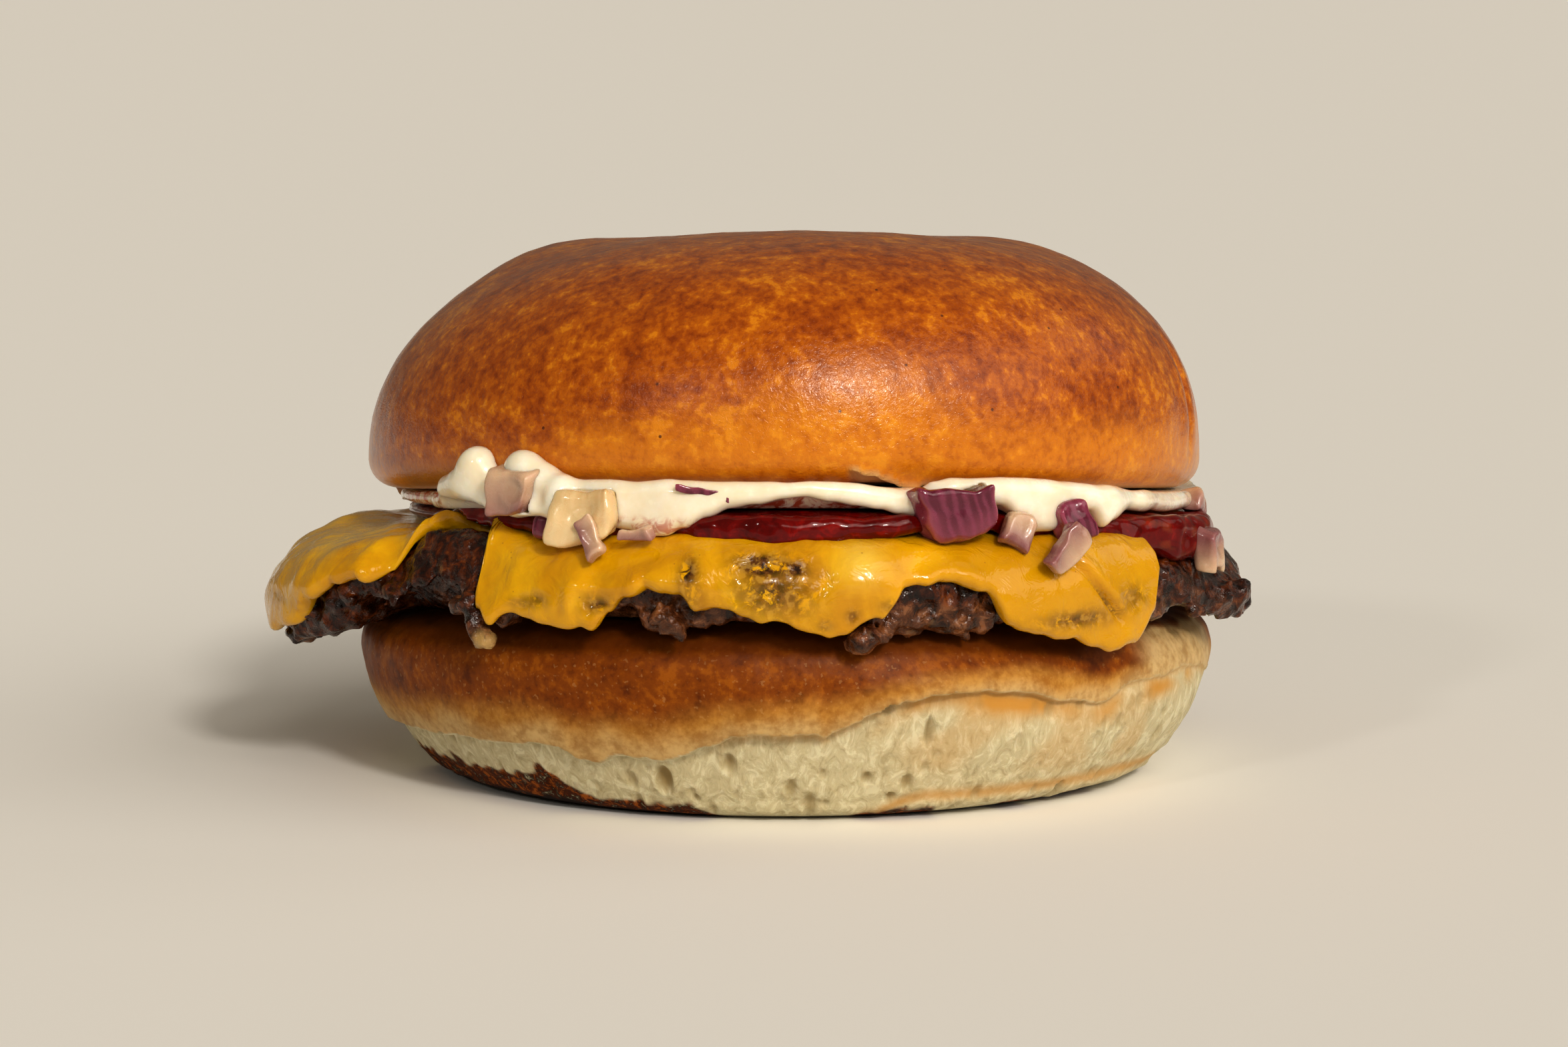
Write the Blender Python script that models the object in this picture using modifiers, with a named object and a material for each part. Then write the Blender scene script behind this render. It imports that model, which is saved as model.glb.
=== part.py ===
"""A cheeseburger at its real size, in metres, standing on its lower bun with +Z up and its front towards -Y.

Every layer is a loft: a section that changes round the burger, carried through a full turn. The layers
lean back together, because the filling is thickest at the front, and they sag a little to both sides.
"""

import math
import random

import bmesh
import bpy
from mathutils import Matrix, Vector, noise

# Clear space between two layers that touch
GAP = 0.0003

# Radii shared by the flat faces of every layer, so that faces that touch are faceted alike
INNER_RADII = (0.0, 0.037)
FLAT_RADIUS = 0.0458
BUN_STEPS = 60
PATTY_STEPS = 88
SAUCE_STEPS = 68

# How the stack leans and sags, measured at this distance from the middle
LEAN_RADIUS = 0.048
SIDE_SAG = 0.0015

# Height of each layer's face at the middle, and how much higher it is at the front
LOWER_BUN_TOP, LOWER_BUN_LIFT = 0.0215, 0.0023
PATTY_MIDDLE, PATTY_LIFT = 0.0255, 0.0026
PATTY_HALF, PATTY_HALF_LIFT = 0.0036, 0.0003
KETCHUP_TOP, KETCHUP_LIFT = 0.0333, 0.0034
UPPER_BUN_FOOT, UPPER_BUN_LIFT = 0.0354, 0.0041

# Upper bun: a dome on a rounded rim, squarer on its right, with two low humps as (x, y, half width, height)
UPPER_BUN_RADIUS = 0.0511
RIM_ROUND = 0.0037
DOME_HEIGHT = 0.0260
DOME_OUT_POWER, DOME_OUT_RIGHT = 3.08, 0.25
DOME_UP_POWER, DOME_UP_RIGHT = 2.33, 0.14
DOME_HUMPS = [(-0.031, 0.0084, 0.0105, 0.0024), (0.033, 0.0084, 0.0139, 0.0020)]
HUMP_DEPTH = 0.014
CRUST_LUMP = 0.0004

# Lower bun: its side as (share of the height, radius), and the crease where crust meets torn crumb
LOWER_BUN_FLAT = 0.0405
LOWER_BUN_SIDE = [
    (0.0, 0.0405), (0.03, 0.0430), (0.12, 0.0457), (0.28, 0.0485), (0.45, 0.0507), (0.62, 0.0521),
    (0.78, 0.0524), (0.89, 0.0513), (0.96, 0.0492), (1.0, FLAT_RADIUS),
]
LOWER_BUN_LEAN = 0.0008
CREASE_HEIGHT = [
    (0, 0.0120), (40, 0.0085), (90, 0.0105), (140, 0.0080), (180, 0.0065), (203, 0.0070), (228, 0.0080),
    (248, 0.0072), (260, 0.0100), (270, 0.0119), (280, 0.0140), (296, 0.0158), (315, 0.0160), (335, 0.0155),
]
CRUST_LIP = 0.0008
CRUMB_SET_BACK = 0.0009

# Patty: how far it reaches round the burger, the roundness of its edge and how far its edge hangs
PATTY_REACH = [
    (0, 0.0560), (20, 0.0548), (45, 0.0556), (70, 0.0542), (95, 0.0562), (120, 0.0546), (145, 0.0560),
    (168, 0.0580), (184, 0.0608), (194, 0.0614), (203, 0.0600), (213, 0.0572), (226, 0.0550), (242, 0.0543),
    (270, 0.0545), (285, 0.0550), (300, 0.0545), (318, 0.0542), (330, 0.0562), (343, 0.0586), (352, 0.0578),
]
PATTY_ROUND = 0.0034
PATTY_DROOP = 0.15
PATTY_HANG = 0.18
DROOP_FROM = 0.049
DROOP_SOFTNESS = 0.0012
CRAG_DEPTH = 0.0013
CRAG_SIZE = 0.0045
CRUMBS = [(231, 0.0026), (257, 0.0012), (282, 0.0014), (343, 0.0014), (20, 0.0015), (76, 0.0018), (133, 0.0014)]
CRUMB_HALF_WIDTH = 4.5

# Cheese: its thickness, and how far it runs from the middle along the patty's skin
CHEESE_THICK = 0.0024
CHEESE_REACH = [
    (4, 0.0496), (12, 0.0535), (24, 0.0605), (38, 0.0605), (50, 0.0572), (66, 0.0635), (84, 0.0580), (92, 0.0490),
    (99, 0.0500), (106, 0.0590), (114, 0.0640), (130, 0.0590), (142, 0.0582), (156, 0.0650), (170, 0.0665),
    (184, 0.0680), (194, 0.0688), (200, 0.0668), (204, 0.0630), (208, 0.0606), (212, 0.0584), (215, 0.0560),
    (217, 0.0540), (219, 0.0512), (222, 0.0494), (226, 0.0494), (228.5, 0.0550), (230.5, 0.0602),
    (240, 0.0612), (247, 0.0615), (250, 0.0580), (254, 0.0566),
    (258, 0.0575), (261, 0.0605), (268, 0.0615), (274, 0.0635), (281, 0.0612), (284, 0.0575), (290, 0.0563),
    (294, 0.0575), (297, 0.0608), (304, 0.0618), (311, 0.0642), (316, 0.0630), (319, 0.0600), (322, 0.0530),
    (325, 0.0462), (335, 0.0452), (346, 0.0456), (355, 0.0470),
]

# Ketchup: the radius and the lowest height of its lip, and where it sinks past the cheese onto the patty
KETCHUP_OUT = [
    (0, 0.0495), (30, 0.0485), (60, 0.0505), (90, 0.0480), (120, 0.0502), (148, 0.0488), (166, 0.0474),
    (185, 0.0466), (205, 0.0468), (230, 0.0475), (254, 0.0480), (264, 0.0512), (285, 0.0516), (300, 0.0492), (318, 0.0500),
    (328, 0.0522), (337, 0.0536), (346, 0.0528), (354, 0.0500),
]
SINK_FROM, SINK_TO = 332, 345

# Mayonnaise: the radius of its lip, its lowest height, and how far up the upper bun's rim it climbs
MAYO_OUT = [
    (0, 0.0500), (25, 0.0514), (50, 0.0498), (80, 0.0512), (105, 0.0500), (135, 0.0518), (150, 0.0506),
    (166, 0.0486), (190, 0.0480), (208, 0.0482), (214, 0.0500), (221, 0.0525), (227, 0.0540), (231, 0.0528), (236, 0.0544), (243, 0.0524),
    (250, 0.0522), (256, 0.0530), (266, 0.0524), (280, 0.0522), (292, 0.0530), (304, 0.0534), (312, 0.0520),
    (322, 0.0512), (334, 0.0500), (348, 0.0498),
]
MAYO_LOW = [
    (0, 0.0332), (25, 0.0318), (50, 0.0312), (80, 0.0300), (105, 0.0308), (135, 0.0302), (160, 0.0325),
    (190, 0.0345), (214, 0.0362), (222, 0.0372), (230, 0.0366), (236, 0.0356), (243, 0.0364), (250, 0.0348),
    (255, 0.0347), (260, 0.0360), (270, 0.0372), (277, 0.0376), (284, 0.0370), (292, 0.0370), (300, 0.0352),
    (306, 0.0352), (314, 0.0364), (324, 0.0362), (334, 0.0358), (348, 0.0345),
]
MAYO_THICK = 0.0012
MAYO_CLIMB = [
    (0, 22), (25, 40), (50, 24), (80, 45), (105, 24), (135, 50), (160, 24), (190, 20), (212, 24), (221, 66),
    (227, 88), (231, 66), (236, 86), (243, 36), (255, 28), (275, 26), (292, 36), (304, 34), (322, 28), (340, 20),
]

# Diced onion: angle, distance from the middle, height, length, depth, thickness, tilt in degrees, kind
ONION_DICE = [
    (232.6, 0.0522, 0.0382, 0.0062, 0.0045, 0.0056, 12, "blush"),
    (244.5, 0.0530, 0.0362, 0.0080, 0.0034, 0.0068, -6, "ivory"),
    (247.8, 0.0566, 0.0318, 0.0055, 0.0026, 0.0022, 24, "blush"),
    (254.0, 0.0545, 0.0348, 0.0046, 0.0026, 0.0018, 4, "blush"),
    (260.5, 0.0512, 0.0384, 0.0060, 0.0016, 0.0014, 3, "purple"),
    (292.6, 0.0532, 0.0360, 0.0094, 0.0048, 0.0060, -14, "purple"),
    (300.6, 0.0536, 0.0342, 0.0036, 0.0034, 0.0040, 18, "blush"),
    (309.0, 0.0525, 0.0352, 0.0050, 0.0044, 0.0050, -20, "purple"),
    (306.2, 0.0578, 0.0308, 0.0062, 0.0026, 0.0040, -34, "blush"),
    (336.0, 0.0560, 0.0307, 0.0056, 0.0036, 0.0046, 10, "blush"),
    (345.0, 0.0518, 0.0332, 0.0044, 0.0040, 0.0036, 25, "blush"),
    (238.6, 0.0505, 0.0350, 0.0034, 0.0030, 0.0030, 8, "purple"),
    (24.0, 0.0515, 0.0322, 0.0052, 0.0046, 0.0038, 16, "ivory"),
    (43.0, 0.0520, 0.0308, 0.0070, 0.0040, 0.0042, -8, "blush"),
    (62.0, 0.0516, 0.0302, 0.0050, 0.0044, 0.0040, 20, "purple"),
    (77.0, 0.0524, 0.0298, 0.0062, 0.0038, 0.0044, -18, "ivory"),
    (95.0, 0.0514, 0.0295, 0.0058, 0.0042, 0.0036, 9, "blush"),
    (112.0, 0.0520, 0.0300, 0.0078, 0.0042, 0.0046, -12, "purple"),
    (129.0, 0.0519, 0.0304, 0.0046, 0.0044, 0.0040, 28, "blush"),
    (147.0, 0.0522, 0.0308, 0.0066, 0.0038, 0.0044, -6, "ivory"),
    (160.0, 0.0504, 0.0322, 0.0048, 0.0038, 0.0036, 14, "blush"),
]
ONION_BEVEL = 0.0004
ONION_SKEW = 0.14
ONION_SEED = 7

# Colour, roughness and metallic value of each material
FINISHES = {
    "crust": ((0.42, 0.14, 0.02), 0.32, 0.0),
    "heel": ((0.62, 0.36, 0.13), 0.60, 0.0),
    "seared_beef": ((0.09, 0.035, 0.02), 0.40, 0.0),
    "cheese": ((0.80, 0.42, 0.01), 0.28, 0.0),
    "ketchup": ((0.32, 0.01, 0.004), 0.15, 0.0),
    "mayonnaise": ((0.84, 0.78, 0.60), 0.22, 0.0),
    "onion_blush": ((0.62, 0.42, 0.36), 0.20, 0.0),
    "onion_ivory": ((0.72, 0.58, 0.36), 0.20, 0.0),
    "onion_purple": ((0.20, 0.01, 0.06), 0.20, 0.0),
}


def ease(share):
    """A smooth step from 0 to 1."""
    share = min(max(share, 0.0), 1.0)
    return share * share * (3 - 2 * share)


def mix(first, second, share):
    return first + (second - first) * share


def around(angle, stops):
    """The value at an angle of a smooth ring through stops of (degrees, value)."""
    turn = math.degrees(angle) % 360
    before = (stops[-1][0] - 360, stops[-1][1])
    for after in stops + [(stops[0][0] + 360, stops[0][1])]:
        if turn <= after[0]:
            return mix(before[1], after[1], ease((turn - before[0]) / (after[0] - before[0])))
        before = after
    return before[1]


def window(angle, start, end, soft=4.0):
    """1 between two angles in degrees and 0 outside them, with soft ends."""
    turn = math.degrees(angle) % 360
    return ease((turn - start) / soft + 0.5) * ease((end - turn) / soft + 0.5)


def level(height, lift, angle, radius):
    """The height of a layer's face, which leans back from the front and sags to both sides."""
    side, depth = radius * math.cos(angle), radius * math.sin(angle)
    return height - lift * depth / LEAN_RADIUS - SIDE_SAG * (side / LEAN_RADIUS) ** 2


def relief(angle, radius, height, size, seed):
    """Smooth noise from -1 to 1 at a point, with bumps of about this size."""
    point = Vector((radius * math.cos(angle), radius * math.sin(angle), height))
    return noise.noise(point / size + Vector((seed, 0, 0)))


def lower_bun_side(share):
    """Radius of the lower bun's side at a share of its height."""
    before = LOWER_BUN_SIDE[0]
    for after in LOWER_BUN_SIDE[1:]:
        if share <= after[0]:
            return mix(before[1], after[1], (share - before[0]) / (after[0] - before[0]))
        before = after
    return before[1]


def lower_bun_section(angle):
    """From the middle of the cut face, down the crust, over its lip to the torn crumb, to the flat base."""
    top = level(LOWER_BUN_TOP, LOWER_BUN_LIFT, angle, LEAN_RADIUS)
    crease = around(angle, CREASE_HEIGHT)
    lean = LOWER_BUN_LEAN * math.cos(angle)
    section = [(r, level(LOWER_BUN_TOP, LOWER_BUN_LIFT, angle, r)) for r in INNER_RADII]
    section.append((lower_bun_side(1.0), top))
    for share in (0.96, 0.89, 0.78):
        section.append((lower_bun_side(share), share * top))
    for share in (0.4, 0.75):
        height = mix(0.78 * top, crease, share)
        section.append((lower_bun_side(height / top) + CRUST_LIP * share, height))
    section.append((lower_bun_side(crease / top) + CRUST_LIP * 0.6, crease))
    section.append((lower_bun_side(crease / top) - CRUMB_SET_BACK, crease - CRUST_LIP * 0.5))
    for share in (0.66, 0.33):
        height = crease * share
        section.append((lower_bun_side(height / top) - CRUMB_SET_BACK * share, height))
    section.append((lower_bun_side(0.03), 0.03 * top))
    section.append((LOWER_BUN_FLAT, 0.0))
    section.append((0.0, 0.0))
    return [(r + lean * (1 - z / top) if 0 < z < top else r, z) for r, z in section]


def rim_point(angle, turn, out):
    """A point on the upper bun's rounded rim: turn 0 is its flat underside and 90 its widest line."""
    reach = RIM_ROUND + out
    radius = UPPER_BUN_RADIUS - RIM_ROUND + reach * math.sin(math.radians(turn))
    foot = level(UPPER_BUN_FOOT, UPPER_BUN_LIFT, angle, radius)
    return radius, foot + RIM_ROUND - reach * math.cos(math.radians(turn))


def hump(angle, radius):
    """How far the crust rises over its two low humps."""
    x, y = radius * math.cos(angle), radius * math.sin(angle)
    return sum(
        rise * math.exp(-(((x - across) / half) ** 2) - ((y - back) / HUMP_DEPTH) ** 2)
        for across, back, half, rise in DOME_HUMPS
    )


def upper_bun_section(angle, grow=0.0):
    """From the top of the dome, down the crust and round the rim, to the middle of the cut face."""
    radius, height = UPPER_BUN_RADIUS + grow, DOME_HEIGHT + grow
    out_power = DOME_OUT_POWER + DOME_OUT_RIGHT * math.cos(angle)
    up_power = DOME_UP_POWER + DOME_UP_RIGHT * math.cos(angle)
    section = []
    for turn in (0, 14, 28, 40, 50, 59, 67, 75, 83, 90):
        r = radius * math.sin(math.radians(turn)) ** (2 / out_power)
        share = max(math.cos(math.radians(turn)), 0.0) ** (2 / up_power)
        z = height * share
        lump = CRUST_LUMP * relief(angle, r, z, 0.022, 11) * ease(z / 0.006) + hump(angle, r) * share
        foot = level(UPPER_BUN_FOOT, UPPER_BUN_LIFT, angle, r)
        section.append((r, foot + RIM_ROUND + z + lump))
    section += [rim_point(angle, turn, grow) for turn in (60, 30, 0)]
    flat = [(r, level(UPPER_BUN_FOOT - grow, UPPER_BUN_LIFT, angle, r)) for r in INNER_RADII]
    return section + flat[::-1]


def patty_face(angle, radius, side):
    """The height of the patty's upper face (side 1) or lower face (side -1), with its hanging edge."""
    past = radius - DROOP_FROM
    hang = PATTY_DROOP + PATTY_HANG * (side < 0)
    middle = level(PATTY_MIDDLE, PATTY_LIFT, angle, radius) - hang * (past + math.hypot(past, DROOP_SOFTNESS)) / 2
    half = PATTY_HALF - PATTY_HALF_LIFT * radius * math.sin(angle) / LEAN_RADIUS
    return middle + side * half


def crumb(angle):
    """How far a loose crumb hangs below the patty's edge at this angle."""
    turn = math.degrees(angle)
    away = [(abs((turn - middle + 180) % 360 - 180), length) for middle, length in CRUMBS]
    return max(length * ease(1 - distance / CRUMB_HALF_WIDTH) for distance, length in away)


def over_patty(angle, along, out):
    """The point this far along the patty's upper skin from the middle, and this far off it."""
    straight = around(angle, PATTY_REACH) - PATTY_ROUND
    bend = PATTY_ROUND + CHEESE_THICK / 2
    turn = min(max((along - straight) / bend, 0.0), math.pi / 2)
    radius = min(along, straight) + (PATTY_ROUND + out) * math.sin(turn)
    hang = max(along - straight - bend * math.pi / 2, 0.0)
    face = patty_face(angle, radius, 1) - PATTY_ROUND
    return radius, face + (PATTY_ROUND + out) * math.cos(turn) - hang


def patty_section(angle, grow=0.0):
    """From the middle of the upper face, round the craggy edge, to the middle of the lower face."""
    straight = around(angle, PATTY_REACH) - PATTY_ROUND
    section = [(r, patty_face(angle, r, 1) + grow) for r in (*INNER_RADII, FLAT_RADIUS)]
    for turn in (0, 35, 65, 90, 115, 145, 180):
        deep = CRAG_DEPTH * (0.5 + 0.5 * relief(angle, straight, turn / 90 * PATTY_ROUND, CRAG_SIZE, 5))
        deep *= ease(turn / 40)
        reach = PATTY_ROUND - deep + grow
        radius = straight + reach * math.sin(math.radians(turn))
        cosine = math.cos(math.radians(turn))
        side = 1 if turn <= 90 else -1
        height = patty_face(angle, radius, side) - side * PATTY_ROUND + reach * cosine
        if 90 < turn < 180:
            height -= crumb(angle)
        section.append((radius, height))
    section += [(r, patty_face(angle, r, -1) - grow) for r in reversed((*INNER_RADII, FLAT_RADIUS))]
    return section


def cheese_section(angle, grow=0.0):
    """The melted slice: out along its upper face, round its hem, and back along the patty's skin."""
    reach = around(angle, CHEESE_REACH)
    hem = reach - CHEESE_THICK / 2
    fold = min(around(angle, PATTY_REACH) - PATTY_ROUND, mix(INNER_RADII[-1], hem, 0.7))
    alongs = [*INNER_RADII, mix(INNER_RADII[-1], fold, 0.6)]
    alongs += [mix(fold, hem, share) for share in (0.0, 0.36, 0.7, 1.0)]
    upper = [over_patty(angle, along, GAP + CHEESE_THICK + grow) for along in alongs]
    tip = over_patty(angle, reach + grow, GAP + CHEESE_THICK / 2)
    lower = [over_patty(angle, along, GAP - grow) for along in alongs]
    return upper + [tip] + lower[::-1]


def cheese_top(angle, radius):
    """The height of the cheese's upper face where it lies on the patty."""
    straight = around(angle, PATTY_REACH) - PATTY_ROUND
    bend = PATTY_ROUND + GAP + CHEESE_THICK
    past = min(max(radius - straight, 0.0) / bend, 1.0)
    return patty_face(angle, radius, 1) - PATTY_ROUND + bend * math.sqrt(1 - past * past)


def ketchup_section(angle):
    """A thin puddle whose lip runs over the cheese, and at the right past it onto the patty."""
    out = around(angle, KETCHUP_OUT)
    sink = window(angle, SINK_FROM, SINK_TO, 6.0)
    top = level(KETCHUP_TOP, KETCHUP_LIFT, angle, out)
    low = mix(cheese_top(angle, out - 0.0008), patty_face(angle, out, 1), sink) + GAP
    section = [(r, level(KETCHUP_TOP, KETCHUP_LIFT, angle, r)) for r in (*INNER_RADII, 0.045)]
    section.append((mix(0.045, out, 0.72), top - 0.06 * (top - low)))
    section.append((out, mix(top, low, 0.45)))
    section.append((out - 0.0002, mix(top, low, 0.85)))
    section.append((out - 0.0008, low))
    inner = min(0.0470, out - 0.0020)
    section.append((inner, mix(cheese_top(angle, inner), patty_face(angle, inner, 1), sink) + GAP))
    section += [(r, cheese_top(angle, r) + GAP) for r in (inner - 0.0008, *INNER_RADII[::-1])]
    return section


def support(angle, radius):
    """The lowest height that the mayonnaise can hang to: over the ketchup's lip, or past it the cheese."""
    past = ease((radius - around(angle, KETCHUP_OUT)) / 0.0012)
    return mix(level(KETCHUP_TOP, KETCHUP_LIFT, angle, radius), cheese_top(angle, radius), past) + GAP


def mayo_section(angle):
    """Squeezed out between the upper bun and the ketchup: up over the rim, and down over the lip below."""
    out = around(angle, MAYO_OUT)
    climb = around(angle, MAYO_CLIMB)
    inner = min(around(angle, KETCHUP_OUT) + GAP, out - 0.0016)
    edge, crown = rim_point(angle, climb, GAP)
    low = max(min(around(angle, MAYO_LOW), crown - MAYO_THICK), support(angle, out - 0.0008))
    section = [(r, level(UPPER_BUN_FOOT - GAP, UPPER_BUN_LIFT, angle, r)) for r in (*INNER_RADII, 0.0462)]
    section += [rim_point(angle, climb * share, GAP) for share in (0.3, 0.65, 1.0)]
    section.append((mix(edge, out, 0.6), crown + 0.3 * (out - edge)))
    section.append((out, mix(crown, low, 0.4)))
    section.append((out - 0.0002, mix(crown, low, 0.75)))
    section.append((out - 0.0008, low))
    section.append((inner, level(KETCHUP_TOP, KETCHUP_LIFT, angle, inner) + GAP + 0.0001))
    section += [
        (r, level(KETCHUP_TOP, KETCHUP_LIFT, angle, r) + GAP) for r in reversed((*INNER_RADII, 0.0455))
    ]
    return section


def finish(name):
    """The material of this name, made from its entry in FINISHES the first time it is asked for."""
    if name in bpy.data.materials:
        return bpy.data.materials[name]
    colour, roughness, metallic = FINISHES[name]
    material = bpy.data.materials.new(name)
    material.use_nodes = True
    shader = material.node_tree.nodes["Principled BSDF"]
    shader.inputs["Base Color"].default_value = (*colour, 1)
    shader.inputs["Roughness"].default_value = roughness
    shader.inputs["Metallic"].default_value = metallic
    material.diffuse_color = (*colour, 1)
    return material


def loft(name, section, steps, material, collection):
    """A closed body: the section at each angle, joined to the next, with both its ends on the middle line."""
    mesh = bpy.data.meshes.new(name)
    built = bmesh.new()
    poles = [built.verts.new((0, 0, section(0)[end][1])) for end in (0, -1)]
    rings = []
    for step in range(steps):
        angle = 2 * math.pi * step / steps
        middle = [
            built.verts.new((r * math.cos(angle), r * math.sin(angle), z)) for r, z in section(angle)[1:-1]
        ]
        rings.append([poles[0], *middle, poles[1]])
    for ring, following in zip(rings, rings[1:] + rings[:1]):
        for upper in range(len(ring) - 1):
            for corners in (
                (ring[upper], ring[upper + 1], following[upper + 1]),
                (ring[upper], following[upper + 1], following[upper]),
            ):
                if len(set(corners)) == 3:
                    built.faces.new(corners)
    bmesh.ops.recalc_face_normals(built, faces=built.faces)
    built.to_mesh(mesh)
    built.free()
    mesh.materials.append(finish(material))
    mesh.shade_smooth()
    body = bpy.data.objects.new(name, mesh)
    collection.objects.link(body)
    return body


def apply_modifiers(body):
    """Makes the object's evaluated mesh its own, and clears its modifiers."""
    evaluated = body.evaluated_get(bpy.context.evaluated_depsgraph_get())
    mesh = bpy.data.meshes.new_from_object(evaluated)
    body.modifiers.clear()
    body.data = mesh


def keep_largest(body):
    """Drops the loose scraps that a cut leaves."""
    built = bmesh.new()
    built.from_mesh(body.data)
    left = set(built.verts)
    pieces = []
    while left:
        queue = [left.pop()]
        piece = set(queue)
        while queue:
            for edge in queue.pop().link_edges:
                for vertex in edge.verts:
                    if vertex in left:
                        left.remove(vertex)
                        piece.add(vertex)
                        queue.append(vertex)
        pieces.append(piece)
    pieces.sort(key=len)
    bmesh.ops.delete(built, geom=[v for piece in pieces[:-1] for v in piece], context="VERTS")
    built.to_mesh(body.data)
    built.free()


def cut_by(body, cutters):
    """Cuts the cutters' shapes out of the body for good."""
    cut = body.modifiers.new("cut", "BOOLEAN")
    cut.operation = "DIFFERENCE"
    cut.operand_type = "COLLECTION"
    cut.collection = cutters
    cut.solver = "EXACT"
    bpy.context.view_layer.update()
    apply_modifiers(body)
    keep_largest(body)


def make_die(name, row, material, collection, grow=0.0):
    """One die of onion: a skewed block with blunt edges, turned to face outwards."""
    degrees, radius, height, length, depth, thickness, tilt, _ = row
    draw = random.Random(ONION_SEED + round(degrees * 10))
    bpy.ops.mesh.primitive_cube_add(size=1)
    body = bpy.context.object
    body.name = name
    for vertex in body.data.vertices:
        skew = Vector([draw.uniform(-ONION_SKEW, ONION_SKEW) for _ in range(3)])
        size = Vector((length, depth, thickness))
        vertex.co = Vector([s * (c + k) for s, c, k in zip(size, vertex.co, skew)])
        vertex.co += Vector([math.copysign(grow, c) for c in vertex.co])
    if not grow:
        edges = body.modifiers.new("blunt edges", "BEVEL")
        edges.width = ONION_BEVEL
        edges.segments = 1
    angle = math.radians(degrees)
    place = Vector((radius * math.cos(angle), radius * math.sin(angle), height))
    turn = Matrix.Rotation(angle + math.pi / 2, 4, "Z") @ Matrix.Rotation(math.radians(tilt), 4, "Y")
    body.matrix_world = Matrix.Translation(place) @ turn
    body.data.materials.append(finish(material))
    for home in list(body.users_collection):
        home.objects.unlink(body)
    collection.objects.link(body)
    return body


def new_collection(name, helper=False):
    collection = bpy.data.collections.new(name)
    bpy.context.scene.collection.children.link(collection)
    collection.hide_render = helper
    return collection


def as_cutter(body):
    body.hide_render = True
    body.display_type = "WIRE"


def main():
    for old in list(bpy.data.objects):
        bpy.data.objects.remove(old)
    burger = new_collection("cheeseburger")
    firm = new_collection("firm_cutters", helper=True)
    diced = new_collection("onion_cutters", helper=True)
    beef = new_collection("patty_cutters", helper=True)

    loft("lower_bun", lower_bun_section, BUN_STEPS, "heel", burger)
    loft("patty", patty_section, PATTY_STEPS, "seared_beef", burger)
    cheese = loft("cheese", cheese_section, PATTY_STEPS, "cheese", burger)
    ketchup = loft("ketchup", ketchup_section, SAUCE_STEPS, "ketchup", burger)
    mayo = loft("mayonnaise", mayo_section, SAUCE_STEPS, "mayonnaise", burger)
    loft("upper_bun", upper_bun_section, BUN_STEPS, "crust", burger)

    skin = loft("patty_cutter", lambda a: patty_section(a, GAP / 2), PATTY_STEPS, "seared_beef", beef)
    as_cutter(skin)
    cut_by(cheese, beef)
    as_cutter(loft("bun_cutter", lambda a: upper_bun_section(a, GAP), BUN_STEPS, "crust", firm))
    as_cutter(loft("cheese_cutter", lambda a: cheese_section(a, GAP), PATTY_STEPS, "cheese", firm))
    for number, row in enumerate(ONION_DICE, 1):
        material = "onion_" + row[-1]
        die = make_die(f"onion_{number:02d}", row, material, burger)
        as_cutter(make_die(f"onion_cutter_{number:02d}", row, material, diced, GAP))
        cut_by(die, firm)
    for sauce in (ketchup, mayo):
        cut_by(sauce, diced)


main()
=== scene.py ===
"""A cheeseburger dressed for its portrait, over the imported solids.

Lengths are in millimetres until a mesh is made. Directions round the burger are in degrees, where 270 is
the front, 180 the left and 0 the right. Buns and cheese are dense lofts. Patty, ketchup and mayonnaise are
fields sampled on rings round the burger and skinned, so that they can hang, blob and crumble. The meshes
hold all relief but the finest, which is bump in the materials.
"""
import math
from itertools import product

import bpy
import numpy as np
from mathutils import Matrix, Vector

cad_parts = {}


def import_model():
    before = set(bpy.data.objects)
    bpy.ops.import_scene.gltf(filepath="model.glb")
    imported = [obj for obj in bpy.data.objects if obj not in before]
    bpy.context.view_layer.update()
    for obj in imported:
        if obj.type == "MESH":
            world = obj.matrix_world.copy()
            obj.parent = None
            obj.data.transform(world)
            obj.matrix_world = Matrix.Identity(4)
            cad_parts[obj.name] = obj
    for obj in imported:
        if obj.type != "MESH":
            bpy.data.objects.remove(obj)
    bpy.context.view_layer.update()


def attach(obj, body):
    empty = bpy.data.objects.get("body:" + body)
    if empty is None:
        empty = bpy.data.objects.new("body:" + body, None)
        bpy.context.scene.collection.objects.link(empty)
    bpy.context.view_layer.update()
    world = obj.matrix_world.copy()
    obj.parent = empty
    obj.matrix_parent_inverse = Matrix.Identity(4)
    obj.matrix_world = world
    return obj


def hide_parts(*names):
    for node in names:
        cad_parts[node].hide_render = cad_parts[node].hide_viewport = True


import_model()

MM = 0.001

# Each layer is flat but for a lift at the front and a sag at both sides, which are those at the lean radius
LEAN_RADIUS, SIDE_SAG = 48.0, 1.5
LOWER_TOP, LOWER_LIFT = 21.5, 2.3
PATTY_MIDDLE, PATTY_LIFT = 25.5, 2.6
KETCHUP_MIDDLE, KETCHUP_MIDDLE_LIFT = 31.9, 3.2
KETCHUP_TOP, KETCHUP_LIFT = 33.3, 3.4
MAYO_MIDDLE, MAYO_MIDDLE_LIFT = 34.4, 3.8
UPPER_FOOT, UPPER_LIFT = 35.4, 4.1

UPPER_RADIUS, RIM_ROUND, DOME_HEIGHT = 51.1, 3.7, 26.0
# How square the upper bun's side and dome are, and how much squarer at the right
SIDE_FULLNESS, SIDE_FULLER, DOME_FULLNESS, DOME_FULLER = 3.08, 0.25, 2.33, 0.14
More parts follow.
